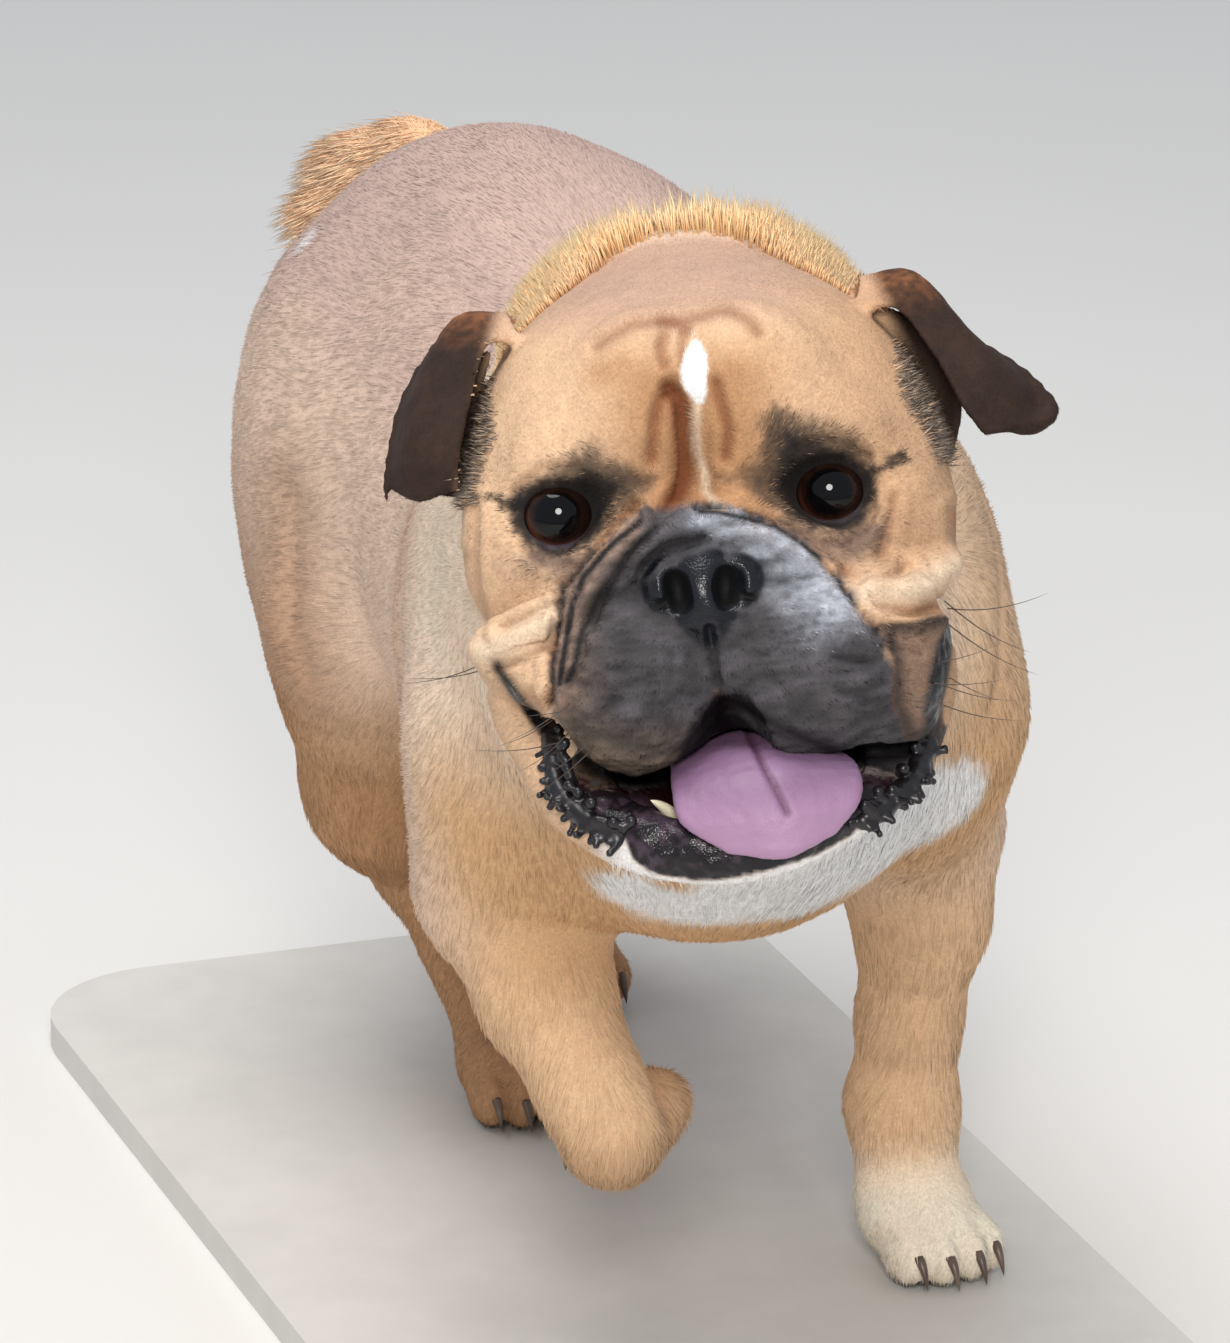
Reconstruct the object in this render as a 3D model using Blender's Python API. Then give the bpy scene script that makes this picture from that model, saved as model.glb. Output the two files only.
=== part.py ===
"""A life-size english bulldog in mid stride on a flat base, parted into head, neck, torso, tail and legs.

The animal is one smooth field of named forms, meshed and then divided. It faces -Y, its left is +X,
and its soles are level at z = 0 until the last step sets the origin under the middle of the whole.
"""
import bpy
import bmesh
import numpy as np
import openvdb
from math import cos, pi, radians, sin, sqrt
from mathutils import Matrix, Vector
from mathutils.bvhtree import BVHTree

MM = 0.001
GAP = 0.0003

# Proportions of the standing animal, in metres
CHEST_AT = (0.0, 0.10, 0.283)
CHEST_HALF = (0.102, 0.175, 0.108)
FORECHEST_AT = (-0.004, -0.012, 0.270)
FORECHEST_HALF = (0.100, 0.095, 0.090)
BACK_AT = (0.014, 0.165, 0.330)
BACK_HALF = (0.076, 0.110, 0.086)
LOIN_AT = (0.008, 0.235, 0.335)
LOIN_HALF = (0.088, 0.130, 0.099)
RUMP_AT = (0.004, 0.302, 0.320)
RUMP_HALF = (0.088, 0.084, 0.096)
WITHERS_AT = (0.0, 0.03, 0.325)
WITHERS_HALF = (0.085, 0.10, 0.074)

# Head frame: its origin lies between the eyes, in metres, and it is turned to look up at the viewer
HEAD_AT = (-0.080, -0.200, 0.413)
HEAD_YAW = -20.0
HEAD_PITCH = -17.2
HEAD_ROLL = -5.3

# Face sizes in the head frame, in millimetres
EYE_APART = 50.0
EYE_RADIUS = 14.0
EYE_BACK = 2.0
LID_HALF_WIDTH = 13.2
LID_HALF_HEIGHT = 10.4
LID_THICK = 2.3
NOSE_AT = (1.0, -49.0, -33.5)
NOSE_HALF = (15.0, 12.0, 18.5)
NOSE_WING_HALF = (9.5, 10.5, 12.5)
EAR_THICK = 2.7
TONGUE_THICK = 3.2
TOOTH_ROOT = (-15, -42, -119)
TOOTH_TIP = (-24, -48, -107)
TOOTH_RADIUS = 3.4

# Where the head ends and the neck begins
HEAD_BACK = 90

# Line of the mouth as it is seen from the front, x and z, and how far the lower jaw reaches
MOUTH_LINE = ((-112, -34), (-92, -40), (-80, -50), (-70, -66), (-58, -84), (-47, -97),
              (-34, -103), (-12, -102), (6, -96), (28, -101), (52, -104), (68, -104),
              (80, -98), (88, -86), (94, -64), (112, -44))
JAW_FRONT = -95
JAW_BACK = 26
JAW_BOTTOM = -165

# Roll of loose skin over the nape, in the head frame: x, y, z and radius in millimetres
RUFF_ROLL = (
    (-54, 88, 62, 10),
    (-30, 112, 80, 12),
    (4, 120, 87, 12),
    (36, 112, 80, 12),
    (58, 88, 60, 10),
)

# Locks of standing hair on that roll, in millimetres
LOCKS_ACROSS = 19
LOCK_LENGTH = 24.0
LOCK_WIDTH = 7.6
LOCK_FLATNESS = 0.34
LOCK_SUNK = 5.0

# Base under the feet
STAND_LENGTH = 0.62
STAND_WIDTH = 0.34
STAND_THICK = 0.014
STAND_MID = (0.005, 0.155)

# Fineness of the mesh
FLESH_STEP = 0.0031
FACE_SPAN = ((-0.215, 0.060), (-0.290, -0.120), (0.295, 0.505))
FLESH_TRIANGLES = 8000
TONGUE_STEP = 0.0016
TONGUE_TRIANGLES = 340

SIDES = ((-1, "right"), (1, "left"))


def turn(x=0.0, y=0.0, z=0.0):
    """Rotation about X, then Y, then Z, in degrees."""
    spins = (Matrix.Rotation(radians(a), 3, axis) for a, axis in ((z, "Z"), (y, "Y"), (x, "X")))
    first, second, third = spins
    return np.array(first @ second @ third)


HEAD_AXES = turn(z=HEAD_YAW) @ turn(x=HEAD_PITCH) @ turn(y=HEAD_ROLL)


def head(x, y, z):
    """A place given in the head frame, in millimetres."""
    return np.array(HEAD_AT) + HEAD_AXES @ (np.array([x, y, z], float) * MM)


# Field of forms

class Form:
    """One lump of flesh, or a hollow cut from those before it, with the width over which it blends."""

    def __init__(self, distance, low, high, blend, cut):
        self.distance = distance
        self.low = low
        self.high = high
        self.blend = blend
        self.cut = cut


def ellipsoid(centre, radii, blend, axes=None, cut=False):
    centre = np.array(centre, float)
    radii = np.array(radii, float)
    axes = np.eye(3) if axes is None else axes

    def distance(p):
        q = (p - centre) @ axes
        near = np.sqrt(((q / radii) ** 2).sum(-1)) + 1e-9
        slope = np.sqrt(((q / radii ** 2) ** 2).sum(-1)) + 1e-9
        return near * (near - 1) / slope

    reach = np.sqrt(((axes * radii) ** 2).sum(1))
    return Form(distance, centre - reach, centre + reach, blend, cut)


def cone(start, end, start_radius, end_radius, blend, cut=False):
    """A rounded cone between two balls."""
    start = np.array(start, float)
    run = np.array(end, float) - start

    def distance(p):
        t = np.clip(((p - start) @ run) / (run @ run), 0, 1)
        radius = start_radius + (end_radius - start_radius) * t
        return np.sqrt(((p - start - t[..., None] * run) ** 2).sum(-1)) - radius

    reach = max(start_radius, end_radius)
    low = np.minimum(start, start + run) - reach
    high = np.maximum(start, start + run) + reach
    return Form(distance, low, high, blend, cut)


def sheet(rows, thick, blend):
    """A thin curved flap through rows of points, as thick as twice the value given."""
    points = smooth_rows(rows)
    down, across = points.shape[:2]
    faces = [(i * across + j, i * across + j + 1, (i + 1) * across + j + 1, (i + 1) * across + j)
             for i in range(down - 1) for j in range(across - 1)]
    tree = BVHTree.FromPolygons([tuple(p) for p in points.reshape(-1, 3)], faces)

    def distance(p):
        flat = p.reshape(-1, 3)
        found = np.array([tree.find_nearest(q)[3] for q in flat.tolist()])
        return found.reshape(p.shape[:-1]) - thick

    return Form(distance, points.min((0, 1)) - thick, points.max((0, 1)) + thick, blend, False)


def smooth_line(points, steps=4):
    """Points along a smooth curve through the given ones (Catmull-Rom), each with all its values."""
    points = np.array(points, float)
    ends = np.vstack([2 * points[0] - points[1], points, 2 * points[-1] - points[-2]])
    line = []
    for a, b, c, d in zip(ends, ends[1:], ends[2:], ends[3:]):
        for t in np.arange(steps) / steps:
            line.append(0.5 * (2 * b + (c - a) * t + (2 * a - 5 * b + 4 * c - d) * t ** 2
                               + (3 * b - a - 3 * c + d) * t ** 3))
    return np.array(line + [points[-1]])


def smooth_rows(rows):
    rows = np.array(rows, float)
    across = np.stack([smooth_line(row) for row in rows])
    return np.stack([smooth_line(across[:, j]) for j in range(across.shape[1])], 1)


def chain(points, blend, cut=False):
    """Rounded cones through points that each give x, y, z and a radius."""
    return [cone(a[:3], b[:3], a[3], b[3], blend, cut) for a, b in zip(points, points[1:])]


def head_ball(at, radii, blend, tip=(0, 0, 0), cut=False):
    return ellipsoid(head(*at), np.array(radii) * MM, blend * MM, HEAD_AXES @ turn(*tip), cut)


def head_roll(points, blend, cut=False, steps=3):
    """A smooth roll of skin, or a crease where cut, through x, y, z, radius points of the head frame."""
    line = smooth_line(points, steps)
    return chain([(*head(*q[:3]), q[3] * MM) for q in line], blend * MM, cut)


def head_sheet(rows, thick, blend):
    return sheet([[head(*q) for q in row] for row in rows], thick * MM, blend * MM)


# Body

def torso_forms():
    return [
        ellipsoid(CHEST_AT, CHEST_HALF, 0.03),
        ellipsoid(FORECHEST_AT, FORECHEST_HALF, 0.04),
        ellipsoid(BACK_AT, BACK_HALF, 0.04),
        ellipsoid(LOIN_AT, LOIN_HALF, 0.05),
        ellipsoid(RUMP_AT, RUMP_HALF, 0.04),
        ellipsoid(WITHERS_AT, WITHERS_HALF, 0.05),
    ]


def neck_forms():
    nape = (*head(4, 105, 24), 0.076)
    throat = (*head(4, 70, -40), 0.064)
    return [
        *chain([(-0.004, 0.02, 0.305, 0.092), (-0.044, -0.075, 0.358, 0.078), nape], 0.05),
        *chain([(-0.010, 0.010, 0.352, 0.058), (*head(4, 112, 26), 0.060)], 0.04),
        *chain([(-0.024, -0.060, 0.285, 0.074), throat], 0.04),
        *chain([(-0.022, -0.050, 0.272, 0.072), (*head(5, 44, -72), 0.046)], 0.04),
        *head_roll(RUFF_ROLL, 12),
    ]


def tail_forms():
    """A short screw tail that falls to the right behind the rump."""
    return chain([(0.010, 0.352, 0.382, 0.022), (-0.002, 0.376, 0.392, 0.019),
                  (-0.024, 0.384, 0.388, 0.016),
                  (-0.044, 0.376, 0.374, 0.011)], 0.012)


def paw_forms(at, heading, length=0.042):
    """A paw on the ground: a pad and four toes about the middle of its sole, turned by degrees."""
    x, y = at
    axes = turn(z=heading)
    forms = [ellipsoid((x, y, 0.020), (0.026, 0.030, 0.022), 0.012, axes)]
    for across, reach in ((-0.018, 0.72), (-0.0065, 0.95), (0.0065, 0.95), (0.018, 0.72)):
        toe = np.array((x, y, 0.0125)) + axes @ (across, -length * reach * 0.62, 0)
        forms.append(ellipsoid(toe, (0.0085, 0.017, 0.0140), 0.004, axes))
    return forms


def front_leg_left_forms():
    return [
        ellipsoid((0.077, 0.000, 0.285), (0.040, 0.070, 0.092), 0.035),
        *chain([(0.084, -0.015, 0.255, 0.040), (0.096, 0.030, 0.190, 0.038)], 0.03),
        *chain([(0.101, 0.026, 0.190, 0.033), (0.103, 0.030, 0.150, 0.0280),
                (0.100, 0.034, 0.105, 0.0210),
                (0.098, 0.036, 0.066, 0.0225), (0.099, 0.032, 0.036, 0.0225)], 0.014),
        *paw_forms((0.101, 0.022), 8),
    ]


def front_leg_right_forms():
    """The lifted leg: the forearm comes forward, and the wrist lets the paw hang back."""
    paw = turn(z=-62) @ turn(x=28)
    toes = [ellipsoid(np.array((-0.034, -0.018, 0.103)) + paw @ (across, -0.018, 0.0),
                      (0.0075, 0.015, 0.011),
                      0.004, paw) for across in (-0.015, -0.005, 0.005, 0.015)]
    return [
        ellipsoid((-0.082, -0.006, 0.285), (0.040, 0.070, 0.090), 0.035),
        *chain([(-0.088, -0.025, 0.255, 0.042), (-0.089, -0.005, 0.200, 0.036)], 0.03),
        *chain([(-0.089, -0.006, 0.200, 0.032), (-0.082, -0.035, 0.162, 0.0260),
                (-0.073, -0.062, 0.132, 0.0205),
                (-0.067, -0.072, 0.113, 0.0200)], 0.016),
        *chain([(-0.067, -0.072, 0.112, 0.0190), (-0.052, -0.045, 0.099, 0.016)], 0.010),
        ellipsoid((-0.040, -0.026, 0.101), (0.022, 0.026, 0.016), 0.010, paw),
        *toes,
    ]


def hind_leg_right_forms():
    return [
        ellipsoid((-0.060, 0.280, 0.270), (0.048, 0.084, 0.104), 0.04, turn(x=8)),
        *chain([(-0.064, 0.232, 0.228, 0.048), (-0.044, 0.285, 0.140, 0.033),
                (-0.024, 0.308, 0.100, 0.024)], 0.03),
        *chain([(-0.021, 0.310, 0.096, 0.0215), (-0.005, 0.266, 0.040, 0.0200)], 0.014),
        ellipsoid((-0.025, 0.328, 0.106), (0.013, 0.013, 0.017), 0.012),
        *paw_forms((-0.002, 0.246), 0),
    ]


def hind_leg_left_forms():
    return [
        ellipsoid((0.064, 0.290, 0.280), (0.044, 0.084, 0.100), 0.04, turn(x=8)),
        *chain([(0.068, 0.262, 0.230, 0.047), (0.068, 0.350, 0.150, 0.034),
                (0.066, 0.402, 0.112, 0.024)], 0.03),
        *chain([(0.066, 0.404, 0.108, 0.0215), (0.064, 0.394, 0.040, 0.0200)], 0.014),
        ellipsoid((0.066, 0.422, 0.120), (0.013, 0.013, 0.017), 0.012),
        *paw_forms((0.064, 0.374), 0),
    ]


# Head

def skull_forms():
    forms = [
        head_ball((5, 46, 28), (85, 72, 57), 18),
        head_ball((5, 60, 40), (72, 60, 46), 18),
        head_ball((5, -6, -30), (60, 36, 44), 16),
    ]
    for side, _ in SIDES:
        forms += [
            head_ball((5 + side * 63, 32, -10), (30, 46, 44), 18),
            head_ball((4 + side * 36, -5, 22), (30, 15, 16), 16),
            head_ball((6 + side * 20, -6, 42), (22, 16, 28), 18),
        ]
    forms.append(head_ball((2, -30, 4), (5, 13, 26), 12, cut=True))
    forms += [head_ball((side * EYE_APART, -17, -1), (17, 13, 12), 10, cut=True) for side, _ in SIDES]
    return forms


def muzzle_forms():
    right_flew = head_ball((-27, -36, -64), (29, 29, 33), 10)
    left_flew = head_ball((36, -39, -63), (37, 27, 33), 10)
    left_hang = head_ball((64, -20, -62), (26, 34, 35), 8)
    over_nose = [(-47, -28, -52, 7), (-41, -36, -33, 7), (-30, -42, -20, 7), (-16, -45, -13, 6.5),
                 (0, -46, -10, 6),
                 (16, -45, -12, 6.5), (32, -42, -20, 7), (46, -36, -34, 7), (58, -27, -52, 7)]
    return [
        head_ball((4, -22, -44), (54, 29, 36), 14),
        *head_roll([(-48, -32, -62, 12), (-64, -14, -56, 10), (-77, 6, -52, 8)], 8),
        right_flew, left_flew, left_hang,
        *head_roll(over_nose, 5),
    ]


def nose_forms():
    nostrils = [head_ball((1.5 + side * 10.5, -62, -31), (4.4, 11, 8.5), 2.5, (0, side * 10, 0), True)
                for side, _ in SIDES]
    slits = [roll for side, _ in SIDES for roll in head_roll(
        [(1.5 + side * 11, -63, -38, 2.6), (1.5 + side * 17, -61, -38, 2.2),
         (1.5 + side * 21, -57, -33, 1.6)],
        1.5, True)]
    philtrum = head_roll([(1.5, -63, -46, 1.6), (1.8, -62, -54, 1.6), (3, -66, -62, 1.8),
                          (3.4, -65, -74, 2.2)],
                         2, True)
    wings = [head_ball((NOSE_AT[0] + side * 12.5, NOSE_AT[1] + 1.5, NOSE_AT[2] + 3), NOSE_WING_HALF, 4)
             for side, _ in SIDES]
    return [head_ball(NOSE_AT, NOSE_HALF, 4), *wings, *nostrils, *slits, *philtrum]


def jaw_forms():
    lip = [(-74, 12, -66, 9), (-63, -10, -88, 9), (-52, -28, -106, 10), (-30, -42, -120, 11),
           (-5, -48, -126, 11),
           (18, -47, -125, 11), (42, -38, -117, 10), (60, -24, -107, 10), (72, -6, -95, 9),
           (80, 12, -76, 9),
           (82, 28, -58, 8)]
    return [
        head_ball((6, 14, -100), (62, 52, 34), 14),
        head_ball((8, -8, -112), (58, 38, 20), 12),
        *head_roll(lip, 7),
    ]


def mouth_forms():
    """The open mouth, cut between the flews and the lower lip."""
    return [
        head_ball((8, -14, -98), (46, 44, 17), 4, (18, 0, 0), True),
        head_ball((-42, -12, -86), (26, 26, 9), 4, (28, -38, 0), True),
        head_ball((58, -24, -94), (20, 20, 6), 4, (28, 20, 0), True),
        head_ball((8, -48, -86), (12, 20, 16), 4, cut=True),
    ]


def cheek_forms():
    """Rolls of skin at the mouth's corners."""
    right = [(-52, -26, -34, 5), (-65, -17, -40, 7), (-77, -2, -45, 7), (-80, 14, -47, 6)]
    left = [(54, -26, -32, 5), (66, -19, -38, 7), (81, -4, -33, 7.5), (89, 14, -28, 6)]
    return [*head_roll(right, 5), *head_roll(left, 5)]


def lid_forms():
    forms = []
    for side, _ in SIDES:
        ring = []
        for k in range(13):
            a = 2 * pi * k / 12
            x, z = LID_HALF_WIDTH * cos(a), LID_HALF_HEIGHT * sin(a)
            y = EYE_BACK - sqrt((EYE_RADIUS + 0.8) ** 2 - x * x - z * z)
            ring.append((*head(side * EYE_APART + x, y, z), LID_THICK * MM))
        forms += chain(ring, 3 * MM)
    return forms


def ear_forms():
    """The right ear hangs by the cheek and the left one outward, in rows from front to back edge."""
    right = [
        [(-60, 38, 66), (-64, 52, 76), (-62, 68, 74)],
        [(-72, 30, 66), (-82, 46, 76), (-84, 66, 72)],
        [(-80, 22, 46), (-96, 34, 52), (-103, 56, 50)],
        [(-86, 16, 26), (-103, 26, 28), (-111, 46, 26)],
        [(-88, 18, 14), (-102, 26, 11), (-111, 40, 16)],
    ]
    left = [
        [(68, 38, 66), (70, 52, 78), (68, 70, 74)],
        [(82, 30, 66), (89, 46, 78), (90, 68, 72)],
        [(95, 26, 46), (105, 38, 56), (108, 60, 52)],
        [(103, 22, 28), (119, 32, 37), (126, 50, 37)],
        [(110, 24, 17), (124, 30, 18), (132, 42, 22)],
    ]
    return [head_sheet(right, EAR_THICK, 5), head_sheet(left, EAR_THICK, 5)]


def flesh_forms():
    return [*torso_forms(), *neck_forms(), *skull_forms(), *jaw_forms(), *muzzle_forms(),
            *cheek_forms(),
            *mouth_forms(), *nose_forms(), *lid_forms(), *ear_forms(), *front_leg_left_forms(),
            *front_leg_right_forms(), *hind_leg_left_forms(), *hind_leg_right_forms(), *tail_forms()]


def tongue_forms():
    """A wide tongue that comes over the lower lip and hangs to the animal's left."""
    rows = [
        [(-14, 6, -90), (10, 6, -86), (34, 6, -92)],
        [(-14, -26, -95), (11, -28, -88), (42, -24, -96)],
        [(-14, -50, -102), (14, -55, -97), (48, -46, -101)],
        [(-12, -60, -113), (18, -66, -112), (48, -57, -111)],
        [(3, -62, -124), (22, -66, -127), (39, -60, -121)],
    ]
    return [head_sheet(rows, TONGUE_THICK, 4)]


# Meshing

def soft_join(a, b, blend):
    share = np.clip(0.5 + 0.5 * (b - a) / blend, 0, 1)
    return b + (a - b) * share - blend * share * (1 - share)


def spaced(low, high, step, fine):
    """Steps from low to high that are halved within the fine stretch."""
    line = [low]
    while line[-1] < high:
        inside = fine[0] < line[-1] < fine[1]
        line.append(line[-1] + (0.5 * step if inside else step))
    return np.array(line)


def field_on_grid(forms, axes, step):
    field = np.full([len(axis) for axis in axes], 0.05)
    for form in forms:
        reach = form.blend + 3 * step
        first = [np.searchsorted(axes[i], form.low[i] - reach) for i in range(3)]
        last = [np.searchsorted(axes[i], form.high[i] + reach) for i in range(3)]
        if min(b - a for a, b in zip(first, last)) < 1:
            continue
        box = tuple(slice(a, b) for a, b in zip(first, last))
        points = np.stack(np.meshgrid(*(axes[i][box[i]] for i in range(3)), indexing="ij"), -1)
        near = form.distance(points)
        old = field[box]
        joined = -soft_join(-old, near, form.blend) if form.cut else soft_join(old, near, form.blend)
        field[box] = joined
    return field


def mesh_from_forms(name, forms, step, fine=((1, 1), (1, 1), (1, 1))):
    """The surface of the forms as a new object, with finer faces where the fine stretches meet."""
    margin = 4 * step
    low = np.min([f.low for f in forms if not f.cut], 0) - margin
    high = np.max([f.high for f in forms if not f.cut], 0) + margin
    axes = [spaced(low[i], high[i], step, fine[i]) for i in range(3)]
    grid = openvdb.FloatGrid(background=0.05)
    grid.copyFromArray(field_on_grid(forms, axes, step).astype(np.float32))
    points, triangles, quads = grid.convertToPolygons(isovalue=0.0, adaptivity=0.0)
    points = np.stack([np.interp(points[:, i], np.arange(len(axes[i])), axes[i]) for i in range(3)], 1)
    mesh = bpy.data.meshes.new(name)
    faces = [tuple(map(int, f)) for f in (*quads, *triangles)]
    mesh.from_pydata(points.tolist(), [], faces)
    obj = new_object(name, mesh)
    tidy(obj)
    return obj


def new_object(name, mesh):
    obj = bpy.data.objects.new(name, mesh)
    bpy.context.scene.collection.objects.link(obj)
    return obj


def tidy(obj):
    """Keep the largest closed surface, with its faces pointing out."""
    bm = bmesh.new()
    bm.from_mesh(obj.data)
    bmesh.ops.dissolve_degenerate(bm, edges=bm.edges, dist=1e-6)
    bmesh.ops.triangulate(bm, faces=bm.faces)
    left = set(bm.verts)
    islands = []
    while left:
        stack = [left.pop()]
        island = set(stack)
        while stack:
            for edge in stack.pop().link_edges:
                for vert in edge.verts:
                    if vert not in island:
                        island.add(vert)
                        stack.append(vert)
        left -= island
        islands.append(island)
    largest = max(islands, key=len)
    bmesh.ops.delete(bm, geom=[v for v in bm.verts if v not in largest], context="VERTS")
    if bm.calc_volume(signed=True) < 0:
        bmesh.ops.reverse_faces(bm, faces=bm.faces)
    bm.to_mesh(obj.data)
    bm.free()


def apply_modifiers(obj):
    graph = bpy.context.evaluated_depsgraph_get()
    mesh = bpy.data.meshes.new_from_object(obj.evaluated_get(graph))
    obj.modifiers.clear()
    obj.data = mesh


def thin_out(obj, triangles):
    now = sum(len(f.vertices) - 2 for f in obj.data.polygons)
    cut = obj.modifiers.new("decimate", "DECIMATE")
    cut.ratio = triangles / now
    apply_modifiers(obj)
    tidy(obj)


def boolean(obj, cutter, operation):
    cut = obj.modifiers.new("cut", "BOOLEAN")
    cut.operation = operation
    cut.object = cutter
    cut.solver = "EXACT"
    apply_modifiers(obj)


def level_soles(obj):
    """Cut the paws flat at z = 0."""
    bm = bmesh.new()
    bm.from_mesh(obj.data)
    geometry = [*bm.verts, *bm.edges, *bm.faces]
    bmesh.ops.bisect_plane(bm, geom=geometry, plane_co=(0, 0, 0), plane_no=(0, 0, 1), clear_inner=True)
    bmesh.ops.holes_fill(bm, edges=[e for e in bm.edges if e.is_boundary])
    bm.to_mesh(obj.data)
    bm.free()
    tidy(obj)


# Parting

def ball_cutter(centre, radii, axes=None, grow=0.0):
    bm = bmesh.new()
    bmesh.ops.create_icosphere(bm, subdivisions=3, radius=1.0)
    mesh = bpy.data.meshes.new("cutter")
    rotation = Matrix(np.eye(3) if axes is None else axes).to_4x4()
    size = Matrix.Diagonal((*(r + grow for r in radii), 1.0))
    bm.transform(Matrix.Translation(Vector(centre)) @ rotation @ size)
    bm.to_mesh(mesh)
    bm.free()
    return new_object("cutter", mesh)


def box_cutter(centre, half, axes=None, grow=0.0):
    bm = bmesh.new()
    bmesh.ops.create_cube(bm, size=2.0)
    mesh = bpy.data.meshes.new("cutter")
    rotation = Matrix(np.eye(3) if axes is None else axes).to_4x4()
    size = Matrix.Diagonal((*(h + grow for h in half), 1.0))
    bm.transform(Matrix.Translation(Vector(centre)) @ rotation @ size)
    bm.to_mesh(mesh)
    bm.free()
    return new_object("cutter", mesh)


def jaw_cutter(grow=0.0):
    """Everything under the line of the mouth, as far back as its corners."""
    line = smooth_line(MOUTH_LINE)
    far_left, far_right = line[0][0], line[-1][0]
    outline = [(x, z + grow / MM) for x, z in line] + [(far_right, JAW_BOTTOM), (far_left, JAW_BOTTOM)]
    bm = bmesh.new()
    front = [bm.verts.new(head(x, JAW_FRONT, z)) for x, z in outline]
    face = bm.faces.new(front)
    made = bmesh.ops.extrude_face_region(bm, geom=[face])
    run = Vector(HEAD_AXES @ (0.0, (JAW_BACK - JAW_FRONT) * MM + grow, 0.0))
    bmesh.ops.translate(bm, verts=[v for v in made["geom"] if isinstance(v, bmesh.types.BMVert)],
                        vec=run)
    bmesh.ops.triangulate(bm, faces=bm.faces)
    bmesh.ops.recalc_face_normals(bm, faces=bm.faces)
    mesh = bpy.data.meshes.new("cutter")
    bm.to_mesh(mesh)
    bm.free()
    return new_object("cutter", mesh)


def part_off(body, name, make_cutter, *shape):
    """Split off what lies in a cutter as a node of its own, and leave a thin gap all round it."""
    piece = new_object(name, body.data.copy())
    for obj, grow, operation in ((piece, 0.0, "INTERSECT"), (body, GAP, "DIFFERENCE")):
        cutter = make_cutter(*shape, grow=grow)
        boolean(obj, cutter, operation)
        bpy.data.objects.remove(cutter)
        tidy(obj)
    return piece


def divide(flesh):
    pieces = [
        part_off(flesh, "tail", ball_cutter, (-0.020, 0.400, 0.384), (0.075, 0.048, 0.060)),
        part_off(flesh, "leg_hind_right", ball_cutter, (-0.064, 0.280, 0.130), (0.074, 0.150, 0.215),
                 turn(y=10)),
        part_off(flesh, "leg_hind_left", ball_cutter, (0.082, 0.330, 0.130), (0.066, 0.150, 0.215),
                 turn(y=-4)),
        part_off(flesh, "leg_front_right", ball_cutter, (-0.100, -0.020, 0.180), (0.078, 0.105, 0.170),
                 turn(y=6)),
        part_off(flesh, "leg_front_left", ball_cutter, (0.110, 0.010, 0.150), (0.066, 0.100, 0.205),
                 turn(y=-6)),
        part_off(flesh, "ear_right", box_cutter, head(-115, 44, 53), (0.040, 0.045, 0.066),
                 HEAD_AXES @ turn(y=16)),
        part_off(flesh, "ear_left", box_cutter, head(124, 46, 57), (0.040, 0.045, 0.066),
                 HEAD_AXES @ turn(y=-19)),
        part_off(flesh, "lower_jaw", jaw_cutter),
        part_off(flesh, "head", box_cutter, head(5, HEAD_BACK - 110, 0), (0.16, 0.110, 0.16),
                 HEAD_AXES),
        part_off(flesh, "neck", box_cutter, (-0.10, -0.145, 0.40), (0.30, 0.13, 0.20), turn(x=24)),
    ]
    flesh.name = "torso"
    return [flesh, *pieces]


def clear_of(piece, neighbour):
    """Cut a piece back from its neighbour's surface by the gap."""
    copy = new_object("cutter", neighbour.data.copy())
    swell = copy.modifiers.new("swell", "DISPLACE")
    swell.mid_level = 0.0
    swell.strength = GAP
    apply_modifiers(copy)
    boolean(piece, copy, "DIFFERENCE")
    bpy.data.objects.remove(copy)
    tidy(piece)


# Standing hair

def make_lock(root, along, across, length, width, bend):
    """A flat, tapered lock that curves back towards its tip."""
    bm = bmesh.new()
    bmesh.ops.create_cone(bm, cap_ends=True, segments=5, radius1=width, radius2=0.34 * width,
                          depth=length)
    upright = [e for e in bm.edges if abs(e.verts[0].co.z - e.verts[1].co.z) > 0.5 * length]
    bmesh.ops.subdivide_edges(bm, edges=upright, cuts=1)
    for vert in bm.verts:
        rise = vert.co.z / length + 0.5
        full = 1 + 1.1 * rise * (1 - rise)
        vert.co.x *= full
        vert.co.y = LOCK_FLATNESS * full * vert.co.y + bend * rise ** 2
        vert.co.z += 0.5 * length
    back = across.cross(along)
    bm.transform(Matrix.Translation(root) @ Matrix((across, back, along)).transposed().to_4x4())
    bmesh.ops.triangulate(bm, faces=bm.faces)
    mesh = bpy.data.meshes.new("lock")
    bm.to_mesh(mesh)
    bm.free()
    return new_object("lock", mesh)


def ruff_locks():
    """Two staggered rows along the roll of the nape, shorter towards its ends."""
    line = smooth_line(RUFF_ROLL, 12)
    locks = []
    for row, (lean, reach, shift) in enumerate(((6, 1.0, 0.0), (36, 0.96, 0.5))):
        for k in range(LOCKS_ACROSS - row % 2):
            part = (k + 0.5 + shift) / LOCKS_ACROSS
            at = part * (len(line) - 1)
            here = line[int(at)]
            if here[1] < HEAD_BACK + LOCK_WIDTH:
                continue
            side = 2 * part - 1
            splay = 0.35 * side + 0.07 * sin(5 * k)
            along = Vector(HEAD_AXES @ turn(x=-lean) @ (splay, 0.0, 1.0)).normalized()
            across = Vector(HEAD_AXES @ (1.0, 0.0, 0.0))
            across = (across - along * across.dot(along)).normalized()
            root = Vector(head(*here[:3])) + along * ((here[3] - LOCK_SUNK) * MM)
            length = LOCK_LENGTH * MM * reach * (1 - 0.45 * side ** 2) * (0.92 + 0.08 * (-1) ** k)
            locks.append(make_lock(root, along, across, length, LOCK_WIDTH * MM, 0.16 * length))
    return locks


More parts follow.
